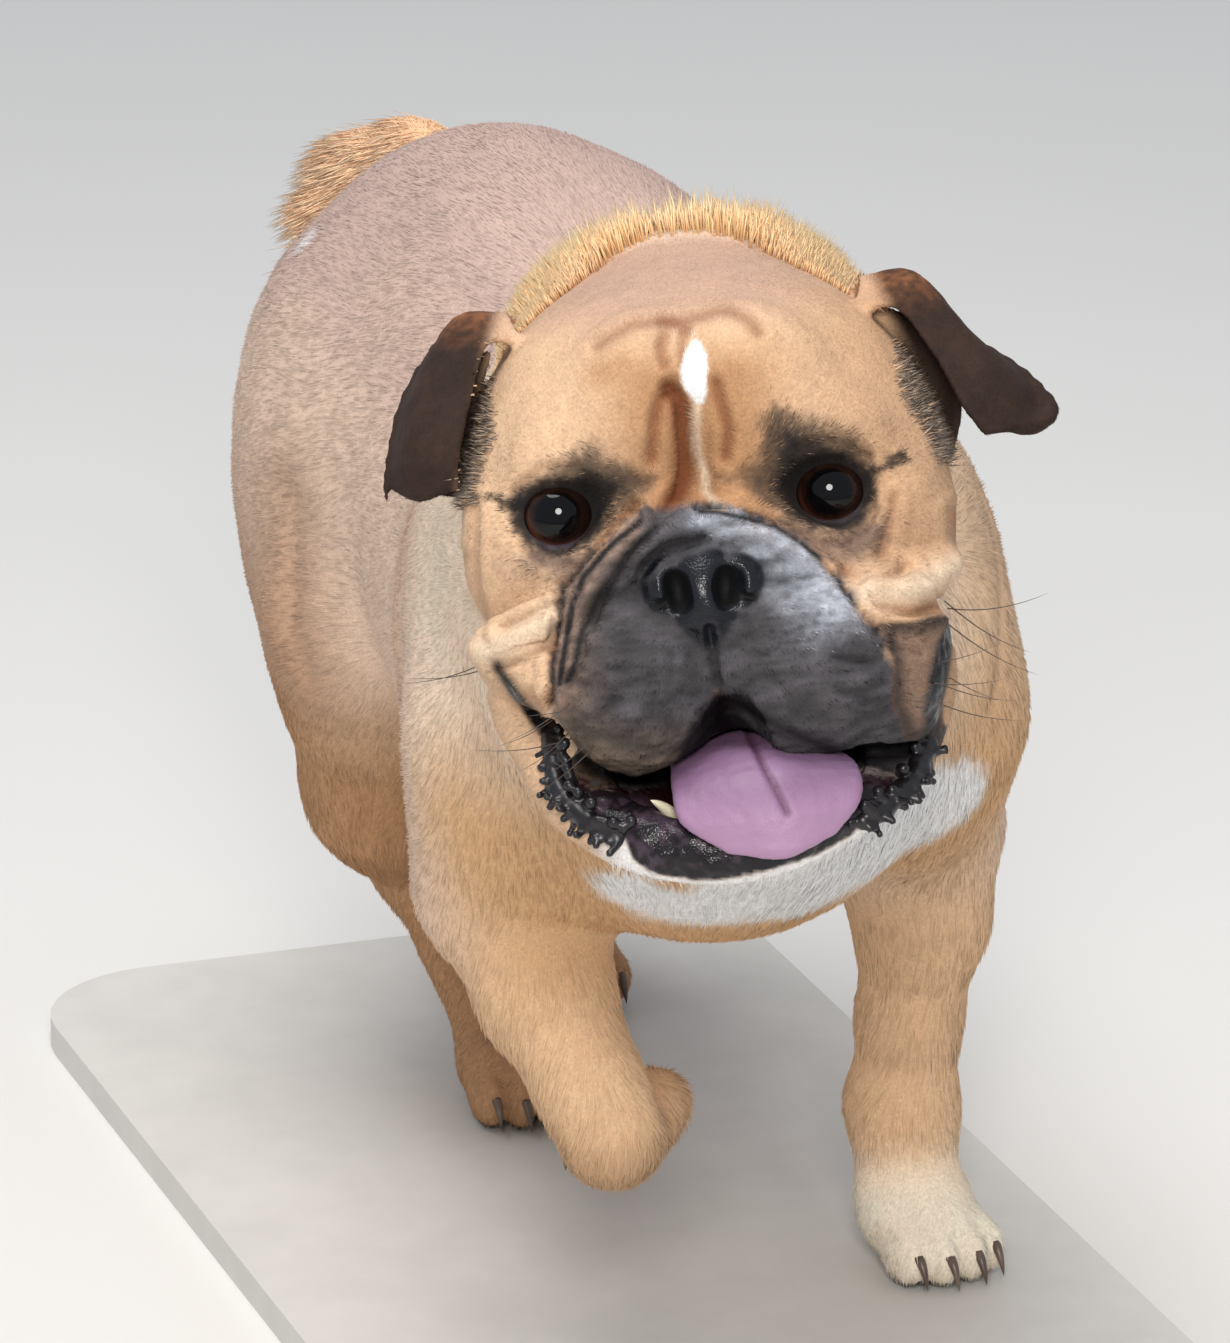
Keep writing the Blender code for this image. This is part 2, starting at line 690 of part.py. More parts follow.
def join_pieces(obj, pieces):
    """Fuse the pieces with the object into one closed body."""
    group = bpy.data.collections.new("pieces")
    for piece in pieces:
        group.objects.link(piece)
    fuse = obj.modifiers.new("fuse", "BOOLEAN")
    fuse.operation = "UNION"
    fuse.operand_type = "COLLECTION"
    fuse.collection = group
    fuse.solver = "EXACT"
    apply_modifiers(obj)
    for piece in pieces:
        bpy.data.objects.remove(piece)
    bpy.data.collections.remove(group)
    tidy(obj)


# Eyes, tongue, tooth and base

def make_eye(head_node, side, name):
    centre = Vector(head(side * EYE_APART, EYE_BACK, 0))
    bm = bmesh.new()
    bmesh.ops.create_uvsphere(bm, u_segments=16, v_segments=10, radius=EYE_RADIUS * MM)
    bm.transform(Matrix.Translation(centre) @ Matrix(HEAD_AXES @ turn(x=90)).to_4x4())
    mesh = bpy.data.meshes.new(name)
    bm.to_mesh(mesh)
    bm.free()
    cutter = ball_cutter(centre, [EYE_RADIUS * MM] * 3, grow=GAP)
    boolean(head_node, cutter, "DIFFERENCE")
    bpy.data.objects.remove(cutter)
    tidy(head_node)
    return new_object(name, mesh)


def make_tongue(neighbours):
    tongue = mesh_from_forms("tongue", tongue_forms(), TONGUE_STEP)
    thin_out(tongue, TONGUE_TRIANGLES)
    for node in neighbours:
        clear_of(tongue, node)
    return tongue


def make_tooth(jaw):
    """The lower canine that shows beside the tongue."""
    root, tip = Vector(head(*TOOTH_ROOT)), Vector(head(*TOOTH_TIP))
    bm = bmesh.new()
    wide = TOOTH_RADIUS * MM
    bmesh.ops.create_cone(bm, cap_ends=True, segments=12, radius1=wide, radius2=0.25 * wide,
                          depth=(tip - root).length)
    spin = (tip - root).to_track_quat("Z", "Y").to_matrix().to_4x4()
    bm.transform(Matrix.Translation((root + tip) / 2) @ spin)
    mesh = bpy.data.meshes.new("tooth_canine")
    bm.to_mesh(mesh)
    bm.free()
    tooth = new_object("tooth_canine", mesh)
    clear_of(tooth, jaw)
    return tooth


def make_stand():
    bm = bmesh.new()
    bmesh.ops.create_cube(bm, size=1.0)
    bm.transform(Matrix.Translation((*STAND_MID, -GAP - STAND_THICK / 2))
                 @ Matrix.Diagonal((STAND_WIDTH, STAND_LENGTH, STAND_THICK, 1.0)))
    upright = [e for e in bm.edges if abs(e.verts[0].co.z - e.verts[1].co.z) > STAND_THICK / 2]
    bmesh.ops.bevel(bm, geom=upright, offset=0.06, segments=8, profile=0.5, affect="EDGES")
    mesh = bpy.data.meshes.new("stand_base")
    bm.to_mesh(mesh)
    bm.free()
    return new_object("stand_base", mesh)


# Materials and origin

def material(name, colour, roughness):
    made = bpy.data.materials.new(name)
    made.use_nodes = True
    shader = made.node_tree.nodes["Principled BSDF"]
    shader.inputs["Base Color"].default_value = (*colour, 1.0)
    shader.inputs["Roughness"].default_value = roughness
    return made


def paint(nodes):
    coat = material("tan_coat", (0.50, 0.30, 0.15), 0.8)
    back = material("back_coat", (0.45, 0.31, 0.25), 0.8)
    dark = material("dark_ear", (0.06, 0.035, 0.025), 0.7)
    eye = material("eye", (0.02, 0.01, 0.008), 0.1)
    pink = material("tongue", (0.55, 0.25, 0.30), 0.4)
    tooth = material("tooth", (0.75, 0.68, 0.50), 0.3)
    stand = material("stand_board", (0.55, 0.53, 0.50), 0.6)
    finishes = {"torso": back, "ear_left": dark, "ear_right": dark, "eye_left": eye, "eye_right": eye,
                "tongue": pink, "tooth_canine": tooth, "stand_base": stand}
    for node in nodes:
        node.data.materials.clear()
        node.data.materials.append(finishes.get(node.name, coat))


def set_origin(nodes):
    """Move the whole so that the origin is under the middle of its box."""
    corners = np.array([v.co for node in nodes for v in node.data.vertices])
    low, high = corners.min(0), corners.max(0)
    shift = Vector((-(low[0] + high[0]) / 2, -(low[1] + high[1]) / 2, -low[2]))
    for node in nodes:
        node.location = shift


def main():
    for obj in list(bpy.data.objects):
        bpy.data.objects.remove(obj)
    flesh = mesh_from_forms("flesh", flesh_forms(), FLESH_STEP, FACE_SPAN)
    thin_out(flesh, FLESH_TRIANGLES)
    level_soles(flesh)
    nodes = divide(flesh)
    by_name = {node.name: node for node in nodes}
    join_pieces(by_name["neck"], ruff_locks())
    for side, name in SIDES:
        nodes.append(make_eye(by_name["head"], side, "eye_" + name))
    nodes.append(make_tongue([by_name["head"], by_name["lower_jaw"], by_name["neck"]]))
    nodes.append(make_tooth(by_name["lower_jaw"]))
    nodes.append(make_stand())
    paint(nodes)
    set_origin(nodes)
    collection = bpy.data.collections.new("english_bulldog")
    bpy.context.scene.collection.children.link(collection)
    for node in nodes:
        bpy.context.scene.collection.objects.unlink(node)
        collection.objects.link(node)


if __name__ == "__main__":
    main()
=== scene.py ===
"""A life-size english bulldog in mid stride, dressed: one skin with its folds and markings, a short coat,
standing hair on the nape, wet nose and lips, eyes, tongue, claws and whiskers.

The shapes are made in the animal's own frame, facing -Y with its soles at z = 0, and are moved at the end
by the shift that sets the origin under the middle of the whole.
"""
from math import cos, pi, radians, sin, sqrt

import bpy
import bmesh
import numpy as np
import openvdb
from mathutils import Matrix, Vector
from mathutils.bvhtree import BVHTree


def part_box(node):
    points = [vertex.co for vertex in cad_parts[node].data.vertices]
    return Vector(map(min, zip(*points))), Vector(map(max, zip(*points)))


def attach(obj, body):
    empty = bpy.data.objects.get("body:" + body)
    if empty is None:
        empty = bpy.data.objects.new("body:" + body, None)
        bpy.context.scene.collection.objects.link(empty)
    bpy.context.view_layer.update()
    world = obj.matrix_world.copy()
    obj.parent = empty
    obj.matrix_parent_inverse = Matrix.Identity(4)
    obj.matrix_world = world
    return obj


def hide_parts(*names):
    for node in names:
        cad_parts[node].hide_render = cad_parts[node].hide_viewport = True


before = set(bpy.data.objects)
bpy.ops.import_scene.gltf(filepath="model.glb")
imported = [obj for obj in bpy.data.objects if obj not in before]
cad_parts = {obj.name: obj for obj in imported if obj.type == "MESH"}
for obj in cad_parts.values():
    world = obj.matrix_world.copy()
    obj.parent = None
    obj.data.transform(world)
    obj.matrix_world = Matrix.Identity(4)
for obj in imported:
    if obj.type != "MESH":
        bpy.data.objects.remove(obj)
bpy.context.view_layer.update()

MM = 0.001

# Proportions of the standing animal, in metres
CHEST_AT = (0.0, 0.10, 0.283)
CHEST_HALF = (0.102, 0.175, 0.108)
FORECHEST_AT = (-0.004, -0.012, 0.270)
FORECHEST_HALF = (0.100, 0.095, 0.090)
BACK_AT = (0.014, 0.165, 0.330)
BACK_HALF = (0.076, 0.110, 0.086)
LOIN_AT = (0.008, 0.235, 0.335)
LOIN_HALF = (0.088, 0.130, 0.099)
RUMP_AT = (0.004, 0.302, 0.320)
RUMP_HALF = (0.088, 0.084, 0.096)
WITHERS_AT = (0.0, 0.03, 0.325)
WITHERS_HALF = (0.085, 0.10, 0.074)

# Head frame: its origin lies between the eyes, in metres, and it is turned to look up at the viewer
HEAD_AT = (-0.080, -0.200, 0.413)
HEAD_YAW = -20.0
HEAD_PITCH = -17.2
HEAD_ROLL = -5.3

# Face sizes in the head frame, in millimetres, with eyes a little wider than the solid ones
EYE_APART = 50.0
EYE_RADIUS = 15.5
EYE_BACK = 2.0
LID_HALF_WIDTH = 14.8
LID_HALF_HEIGHT = 12.4
LID_THICK = 1.6
NOSE_AT = (1.0, -49.0, -33.5)
NOSE_HALF = (15.0, 12.0, 18.5)
NOSE_WING_HALF = (9.5, 10.5, 12.5)
EAR_THICK = 2.7
TONGUE_THICK = 3.2

# Roll of loose skin over the nape, in the head frame: x, y, z and radius in millimetres
RUFF_ROLL = (
    (-54, 88, 62, 10),
    (-30, 112, 80, 12),
    (4, 120, 87, 12),
    (36, 112, 80, 12),
    (58, 88, 60, 10),
)

# Fineness of the skin, and the span of the face in which it is finer
SKIN_STEP = 0.0036
FINE_SHARE = 0.36
FACE_SPAN = ((-0.215, 0.072), (-0.290, -0.088), (0.275, 0.505))
SKIN_SHARE_KEPT = 0.56
FLESH_NODES = ("torso", "neck", "head", "lower_jaw", "ear_left", "ear_right", "leg_front_left",
               "leg_front_right", "leg_hind_left", "leg_hind_right", "tail")

# Folds of the face as they are seen from the front: x, z in millimetres, then width and depth
BROW_FOLDS = (
    (((-30, 60), (-25, 63), (-16, 67), (-4, 67), (5, 67), (14, 69), (19, 69), (27, 64), (29, 60)),
     2.4, 1.1),
    (((-5, 67), (-2, 66), (2, 64)), 2.4, 1.2),
    (((-5, 62), (-7, 58), (-7, 55), (-6, 51)), 1.9, 1.3),
    (((3, 63), (1, 58), (1, 51)), 1.6, 1.0),
    (((-5, 43), (-9, 38), (-11, 33), (-12, 28), (-13, 22), (-14, 17)), 2.2, 1.9),
    (((-5, 43), (-2, 38), (-1, 32), (-1, 21), (-1, 16), (-2, 10), (-4, 5), (-8, 1), (-12, -3)),
     2.6, 2.7),
    (((12, 43), (13, 36), (14, 31), (15, 25), (14, 20), (13, 16)), 2.2, 1.9),
)
FOLDS = BROW_FOLDS + (
    (((-21, 1), (-29, -5), (-41, -17), (-50, -26), (-53, -40), (-56, -50), (-57, -63), (-58, -67)),
     1.9, 3.4),
    (((-20, -5), (-33, -14), (-42, -23), (-47, -33), (-50, -44), (-53, -56), (-54, -61)), 1.7, 3.0),
    (((-14, -7), (-25, -16), (-31, -25), (-38, -33), (-44, -42), (-48, -55), (-51, -60)), 1.9, 2.7),
    (((3, -12), (-2, -13), (-8, -14), (-12, -15), (-16, -18), (-20, -22)), 2.0, 2.9),
    (((19, -5), (31, -10), (38, -15), (48, -23), (54, -31), (60, -40)), 1.8, 2.3),
    (((2, -3), (9, -4), (18, -7), (29, -11), (37, -17), (44, -24), (49, -31), (53, -38), (62, -52)),
     1.7, 2.5),
    (((1.8, -46), (2.0, -56), (3, -66)), 1.5, 1.8),
    (((-12, -54), (-13, -59), (-15, -66)), 1.6, 0.6),
    (((-35, -67), (-38, -72), (-41, -74)), 1.8, 0.8),
    (((-41, -80), (-37, -83), (-31, -82), (-27, -78)), 1.8, 0.8),
    (((-19, -65), (-21, -69), (-22, -75)), 1.8, 0.6),
    (((-34, -29), (-38, -36), (-40, -43)), 1.7, 0.8),
    (((46, -59), (53, -62), (59, -62), (63, -61)), 1.7, 1.2),
    (((47, -72), (52, -73), (58, -72), (63, -70)), 1.7, 1.2),
    (((50, -79), (57, -82), (62, -81), (67, -79)), 1.7, 1.1),
    (((22, -64), (27, -70), (30, -78)), 1.8, 0.6),
    (((67, -59), (72, -60), (77, -61)), 1.5, 0.9),
    (((-53, -32), (-57, -33), (-63, -35), (-68, -37), (-74, -39)), 2.0, 2.2),
    (((-57, -46), (-63, -49), (-68, -51), (-74, -52), (-77, -53)), 2.0, 2.4),
    (((-58, -66), (-62, -68), (-66, -64)), 2.0, 1.8),
    (((53, -30), (58, -32), (65, -33), (71, -32), (76, -30)), 2.2, 2.6),
    (((63, -42), (69, -44), (77, -46), (82, -45), (94, -46)), 2.2, 3.6),
    (((-80, 8), (-81, -3), (-82, -14), (-82, -25), (-80, -36)), 2.0, 1.4),
    (((-87, -12), (-90, -18), (-90, -25)), 2.2, 1.5),
    (((73, -5), (71, -13), (69, -20), (67, -25)), 2.2, 1.8),
    (((96, -12), (96, -19), (101, -27)), 2.6, 2.6),
    (((-64, -10), (-56, -18), (-44, -19), (-34, -11)), 1.7, 0.9),
    (((66, -9), (56, -20), (44, -19), (34, -11)), 1.7, 0.9),
    (((-66, 10), (-54, 18), (-40, 17)), 1.7, 1.0),
    (((66, 11), (54, 19), (40, 17)), 1.7, 1.0),
)
RIDGES = (
    (((-55, -38), (-63, -42), (-71, -45), (-79, -48), (-83, -47)), 4.6, 3.0),
    (((60, -37), (68, -39), (76, -38), (84, -36), (90, -33), (98, -31)), 4.8, 3.4),
    (((-77, 6), (-79, -7), (-80, -21), (-79, -35)), 2.4, 0.9),
    (((5, -9), (18, -12), (29, -17), (37, -24), (44, -31), (50, -40)), 4.5, 1.4),
)

# Folds of the body: x, y, z in metres, then width and depth in millimetres
BODY_FOLDS = (
    (((-0.113, 0.060, 0.345), (-0.126, 0.030, 0.318), (-0.131, 0.018, 0.285), (-0.132, 0.012, 0.250),
      (-0.124, 0.018, 0.215)), 9.0, 5.0),
    (((0.118, 0.060, 0.345), (0.130, 0.050, 0.300), (0.128, 0.048, 0.255), (0.118, 0.050, 0.220)),
     9.0, 5.0),
    (((-0.112, 0.190, 0.200), (-0.116, 0.215, 0.240), (-0.112, 0.235, 0.290)), 11.0, 4.5),
    (((0.112, 0.190, 0.200), (0.116, 0.215, 0.240), (0.112, 0.235, 0.290)), 11.0, 4.5),
    (((0.100, -0.030, 0.350), (0.100, -0.055, 0.310), (0.092, -0.068, 0.275)), 5.0, 3.0),
    (((-0.105, -0.075, 0.370), (-0.118, -0.070, 0.330), (-0.118, -0.075, 0.290)), 5.0, 2.6),
)

# Markings of the face, as outlines and lines of x, z in millimetres
MUZZLE = ((2, -1), (-10, 0), (-20, -1), (-30, -8), (-42, -19), (-51, -28), (-54, -42), (-57, -56),
          (-58, -68), (-56, -80), (-58, -92), (-46, -97), (-30, -102), (-10, -98), (3, -68), (12, -88),
          (36, -102), (64, -104), (84, -98), (86, -90), (74, -84), (66, -78), (67, -68), (65, -57),
          (58, -46), (50, -32), (39, -16), (29, -9), (14, -3))
LIPS = ((-77, -52), (-73, -62), (-68, -72), (-63, -80), (-61, -90), (-60, -98), (-57, -104), (-52, -108),
        (-46, -112), (-40, -115), (-35, -120), (-33, -126), (-28, -131), (-20, -134), (-10, -136),
        (0, -136), (11, -135), (22, -133), (35, -130), (46, -125), (54, -120), (62, -117), (70, -110),
        (76, -101), (81, -93), (84, -79), (88, -61), (99, -47), (94, -46), (84, -58), (79, -72),
        (76, -84), (74, -92), (40, -90), (4, -66), (-30, -88), (-56, -84), (-66, -70), (-74, -58))
MASKS = (
    ((-67, 6), (-63, 10), (-58, 13), (-52, 15), (-46, 19), (-42, 22), (-36, 24), (-31, 20), (-28, 18),
     (-22, 15), (-15, 10), (-19, 5), (-24, 0), (-30, -5), (-35, -8), (-41, -12), (-48, -15), (-56, -13),
     (-62, -9), (-65, -3)),
    ((28, 27), (32, 34), (37, 31), (43, 27), (52, 23), (61, 20), (65, 14), (67, 6), (66, -5), (61, -12),
     (54, -15), (45, -14), (38, -10), (33, -7), (26, -2), (19, 3), (14, 8), (19, 12), (25, 13),
     (28, 19)),
)
BLAZE = ((5, 60), (8, 58), (9.5, 53), (9, 47), (8.5, 42), (6.5, 36), (3.5, 37), (0.5, 41), (-0.2, 49),
         (2, 55))
STREAKS = (((-74, 9), (-69, 6.5), (-63, 6)), ((64, 3), (70, 7), (77, 10)))
PALE_LINE = ((5, 38), (4, 32), (3, 26), (3, 21), (4, 15), (5, 10), (5, 4), (7, 0), (11, -4))
VALLEY = ((-3, 38), (-1.5, 27), (-1.5, 18), (-3, 9), (-8, 1))
CREAM_FOLDS = (((60, -37), (68, -39), (76, -38), (84, -36), (90, -33), (98, -31)),
               ((-56, -38), (-63, -42), (-71, -45), (-79, -48), (-83, -47)))
WHITE_HAIR = (((4, -5), (12, -6), (22, -9), (32, -14), (41, -23), (48, -32), (54, -42)),
              ((20, -20), (30, -25), (40, -34), (47, -44)), ((26, -34), (34, -42), (38, -50)))
UNDER_EYES = (((-58, -15), (-48, -18), (-40, -20), (-46, -27)),
              ((38, -14), (47, -19), (56, -20), (64, -17)))
BROWN_ROLLS = (((-25, -6), (-38, -16), (-48, -28), (-52, -42), (-54, -56), (-55, -66)),
               ((24, -6), (38, -14), (50, -26), (58, -40)))
GREY_CORNER = ((64, -50), (78, -50), (96, -47), (88, -61), (84, -78), (82, -95), (70, -92), (66, -78),
               (67, -64))
EDGE_OF_LIP = (((-77, -53), (-71, -63), (-63, -74), (-58, -80), (-53, -88), (-43, -95), (-34, -99),
                (-25, -101), (-19, -100), (-13, -94), (-9, -85), (0, -75), (4, -71)),
               ((4, -71), (9, -73), (16, -78), (31, -87), (40, -92), (49, -98), (60, -99), (69, -99),
                (77, -94), (82, -76), (87, -60), (96, -46)))

# Markings of the body, in metres
CHEST_PATCH = ((-0.064, -0.108, 0.228), (-0.045, -0.113, 0.221), (-0.019, -0.118, 0.224),
               (0.012, -0.112, 0.230), (0.040, -0.100, 0.236), (0.071, -0.075, 0.238))
RUMP_SPOT = (-0.078, 0.296, 0.386)

# Middle of the tail, in metres
TAIL_LINE = ((0.012, 0.362, 0.386), (-0.002, 0.378, 0.392), (-0.024, 0.386, 0.388),
             (-0.050, 0.378, 0.372))

# Paws: toes by their way across and share of the length, and the lifted paw by its own place
PAW_LENGTH = 0.042
PAW_TOES = ((-0.018, 0.72), (-0.0065, 0.95), (0.0065, 0.95), (0.018, 0.72))
PAWS = {"front_left": ((0.101, 0.022), 8), "hind_right": ((-0.002, 0.246), 0),
        "hind_left": ((0.064, 0.374), 0)}
LIFTED_PAW_AT = (-0.034, -0.018, 0.103)
LIFTED_TOES = (-0.015, -0.005, 0.005, 0.015)

# Coat: numbers of tufts and strands, the most tufts in one piece, and the parts of the body in each
SHORT_TUFTS = 262000
NAPE_STRANDS = 12500
TAIL_STRANDS = 5500
FRINGE_STRANDS = 2000
MOST_IN_PIECE = 46000
COAT_PIECES = {"coat_torso_right": (0,), "coat_torso_left": (1,), "coat_neck": (2,),
               "coat_head_right": (3,), "coat_head_left": (4,), "coat_front_legs": (5, 6),
               "coat_hind_legs": (7, 8)}

# Side of a tuft's patch in the bake layout, and the darkest and lightest colour of a surface
PATCH = 0.003
DARKEST, LIGHTEST = 0.002, 0.95

# Middle of the head across, and the swelling of the eye's front, in millimetres
MIDDLE = 4
CORNEA = 1.1

# Lowest place of the skin over the board, in metres
SOLE = 0.0004

# Viewer: place in metres, turn and drop in degrees, and the picture in pixels and millimetres
CAMERA_AT = (-1.0350, -2.8430, 1.2820)
VIEW_TURN = 20.0
VIEW_DROP = 19.0
LOOK_AT_PIXEL = (716.0, 757.0)
PICTURE_MIDDLE = (615.0, 671.5)
PICTURE_HEIGHT = 1343.0
PIXELS_OF_FOCUS = 8000.0
SENSOR = 36.0
FLOOR_HALF = 14.0

SIDES = ((-1, "right"), (1, "left"))


def turn(x=0.0, y=0.0, z=0.0):
    """Rotation about X, then Y, then Z, in degrees."""
    spins = (Matrix.Rotation(radians(a), 3, axis) for a, axis in ((z, "Z"), (y, "Y"), (x, "X")))
    first, second, third = spins
    return np.array(first @ second @ third)


HEAD_AXES = turn(z=HEAD_YAW) @ turn(x=HEAD_PITCH) @ turn(y=HEAD_ROLL)


def head(x, y, z):
    """A place given in the head frame, in millimetres."""
    return np.array(HEAD_AT) + HEAD_AXES @ (np.array([x, y, z], float) * MM)


# Field of forms

class Form:
    """One lump of flesh, or a hollow cut from those before it, with the width over which it blends."""

    def __init__(self, distance, low, high, blend, cut):
        self.distance = distance
        self.low = low
        self.high = high
        self.blend = blend
        self.cut = cut


def ellipsoid(centre, radii, blend, axes=None, cut=False):
    centre = np.array(centre, float)
    radii = np.array(radii, float)
    axes = np.eye(3) if axes is None else axes

    def distance(p):
        q = (p - centre) @ axes
        near = np.sqrt(((q / radii) ** 2).sum(-1)) + 1e-9
        slope = np.sqrt(((q / radii ** 2) ** 2).sum(-1)) + 1e-9
        return near * (near - 1) / slope

    reach = np.sqrt(((axes * radii) ** 2).sum(1))
    return Form(distance, centre - reach, centre + reach, blend, cut)


def cone(start, end, start_radius, end_radius, blend, cut=False):
    """A rounded cone between two balls."""
    start = np.array(start, float)
    run = np.array(end, float) - start

    def distance(p):
        t = np.clip(((p - start) @ run) / (run @ run), 0, 1)
        radius = start_radius + (end_radius - start_radius) * t
        return np.sqrt(((p - start - t[..., None] * run) ** 2).sum(-1)) - radius

    reach = max(start_radius, end_radius)
    low = np.minimum(start, start + run) - reach
    high = np.maximum(start, start + run) + reach
    return Form(distance, low, high, blend, cut)


def sheet(rows, thick, blend):
    """A thin curved flap through rows of points, as thick as twice the value given."""
    points = smooth_rows(rows)
    down, across = points.shape[:2]
    faces = [(i * across + j, i * across + j + 1, (i + 1) * across + j + 1, (i + 1) * across + j)
             for i in range(down - 1) for j in range(across - 1)]
    tree = BVHTree.FromPolygons([tuple(p) for p in points.reshape(-1, 3)], faces)

    def distance(p):
        flat = p.reshape(-1, 3)
        found = np.array([tree.find_nearest(q)[3] for q in flat.tolist()])
        return found.reshape(p.shape[:-1]) - thick

    return Form(distance, points.min((0, 1)) - thick, points.max((0, 1)) + thick, blend, False)


def smooth_line(points, steps=4):
    """Points along a smooth curve through the given ones (Catmull-Rom), each with all its values."""
    points = np.array(points, float)
    ends = np.vstack([2 * points[0] - points[1], points, 2 * points[-1] - points[-2]])
    line = []
    for a, b, c, d in zip(ends, ends[1:], ends[2:], ends[3:]):
        for t in np.arange(steps) / steps:
            line.append(0.5 * (2 * b + (c - a) * t + (2 * a - 5 * b + 4 * c - d) * t ** 2
                               + (3 * b - a - 3 * c + d) * t ** 3))
    return np.array(line + [points[-1]])


def smooth_rows(rows):
    rows = np.array(rows, float)
    across = np.stack([smooth_line(row) for row in rows])
    return np.stack([smooth_line(across[:, j]) for j in range(across.shape[1])], 1)


def chain(points, blend, cut=False):
    """Rounded cones through points that each give x, y, z and a radius."""
    return [cone(a[:3], b[:3], a[3], b[3], blend, cut) for a, b in zip(points, points[1:])]


def head_ball(at, radii, blend, tip=(0, 0, 0), cut=False):
    return ellipsoid(head(*at), np.array(radii) * MM, blend * MM, HEAD_AXES @ turn(*tip), cut)


def head_roll(points, blend, cut=False, steps=3):
    """A smooth roll of skin, or a crease where cut, through x, y, z, radius points of the head frame."""
    line = smooth_line(points, steps)
    return chain([(*head(*q[:3]), q[3] * MM) for q in line], blend * MM, cut)


def head_sheet(rows, thick, blend):
    return sheet([[head(*q) for q in row] for row in rows], thick * MM, blend * MM)


# Body

def torso_forms():
    return [
        ellipsoid(CHEST_AT, CHEST_HALF, 0.03),
        ellipsoid(FORECHEST_AT, FORECHEST_HALF, 0.04),
        ellipsoid(BACK_AT, BACK_HALF, 0.04),
        ellipsoid(LOIN_AT, LOIN_HALF, 0.05),
        ellipsoid(RUMP_AT, RUMP_HALF, 0.04),
        ellipsoid(WITHERS_AT, WITHERS_HALF, 0.05),
    ]


def neck_forms():
    nape = (*head(4, 105, 24), 0.076)
    throat = (*head(4, 70, -40), 0.064)
    return [
        *chain([(-0.004, 0.02, 0.305, 0.092), (-0.044, -0.075, 0.358, 0.078), nape], 0.05),
        *chain([(-0.010, 0.010, 0.352, 0.058), (*head(4, 112, 26), 0.060)], 0.04),
        *chain([(-0.024, -0.060, 0.285, 0.074), throat], 0.04),
        *chain([(-0.022, -0.050, 0.272, 0.072), (*head(5, 44, -72), 0.046)], 0.04),
        *head_roll(RUFF_ROLL, 12),
    ]


def tail_forms():
    """A short screw tail that falls to the right behind the rump."""
    return chain([(0.010, 0.352, 0.382, 0.022), (-0.002, 0.376, 0.392, 0.019),
                  (-0.024, 0.384, 0.388, 0.016), (-0.044, 0.376, 0.374, 0.011)], 0.012)


def toes_of(at, heading):
    """The axes of a paw on the ground, and the middles of its four toes."""
    axes = turn(z=heading)
    sole = np.array((*at, 0.0125))
    return axes, [sole + axes @ (across, -PAW_LENGTH * reach * 0.62, 0) for across, reach in PAW_TOES]


def lifted_toes():
    """The axes of the paw that hangs back from the wrist, and the middles of its four toes."""
    axes = turn(z=-62) @ turn(x=28)
    return axes, [np.array(LIFTED_PAW_AT) + axes @ (across, -0.018, 0.0) for across in LIFTED_TOES]


def paw_forms(at, heading):
    """A paw on the ground: a pad and four toes about the middle of its sole, turned by degrees."""
    axes, toes = toes_of(at, heading)
    pad = ellipsoid((*at, 0.020), (0.026, 0.030, 0.022), 0.012, axes)
    return [pad, *(ellipsoid(toe, (0.0085, 0.017, 0.0140), 0.004, axes) for toe in toes)]


def front_leg_left_forms():
    return [
        ellipsoid((0.077, 0.000, 0.285), (0.040, 0.070, 0.092), 0.035),
        *chain([(0.084, -0.015, 0.255, 0.040), (0.096, 0.030, 0.190, 0.038)], 0.03),
        *chain([(0.101, 0.026, 0.190, 0.033), (0.103, 0.030, 0.150, 0.0280), (0.100, 0.034, 0.105, 0.0210),
                (0.098, 0.036, 0.066, 0.0225), (0.099, 0.032, 0.036, 0.0225)], 0.014),
        *paw_forms(*PAWS["front_left"]),
    ]


def front_leg_right_forms():
    """The lifted leg: the forearm comes forward, and the wrist lets the paw hang back."""
    paw, toes = lifted_toes()
    return [
        ellipsoid((-0.082, -0.006, 0.285), (0.040, 0.070, 0.090), 0.035),
        *chain([(-0.088, -0.025, 0.255, 0.042), (-0.089, -0.005, 0.200, 0.036)], 0.03),
        *chain([(-0.089, -0.006, 0.200, 0.032), (-0.082, -0.035, 0.162, 0.0260),
                (-0.073, -0.062, 0.132, 0.0205), (-0.067, -0.072, 0.113, 0.0200)], 0.016),
        *chain([(-0.067, -0.072, 0.112, 0.0190), (-0.052, -0.045, 0.099, 0.016)], 0.010),
        ellipsoid((-0.040, -0.026, 0.101), (0.022, 0.026, 0.016), 0.010, paw),
        *(ellipsoid(toe, (0.0075, 0.015, 0.011), 0.004, paw) for toe in toes),
    ]


def hind_leg_right_forms():
    return [
        ellipsoid((-0.060, 0.280, 0.270), (0.048, 0.084, 0.104), 0.04, turn(x=8)),
        *chain([(-0.064, 0.232, 0.228, 0.048), (-0.044, 0.285, 0.140, 0.033),
                (-0.024, 0.308, 0.100, 0.024)], 0.03),
        *chain([(-0.021, 0.310, 0.096, 0.0215), (-0.005, 0.266, 0.040, 0.0200)], 0.014),
        ellipsoid((-0.025, 0.328, 0.106), (0.013, 0.013, 0.017), 0.012),
        *paw_forms(*PAWS["hind_right"]),
    ]


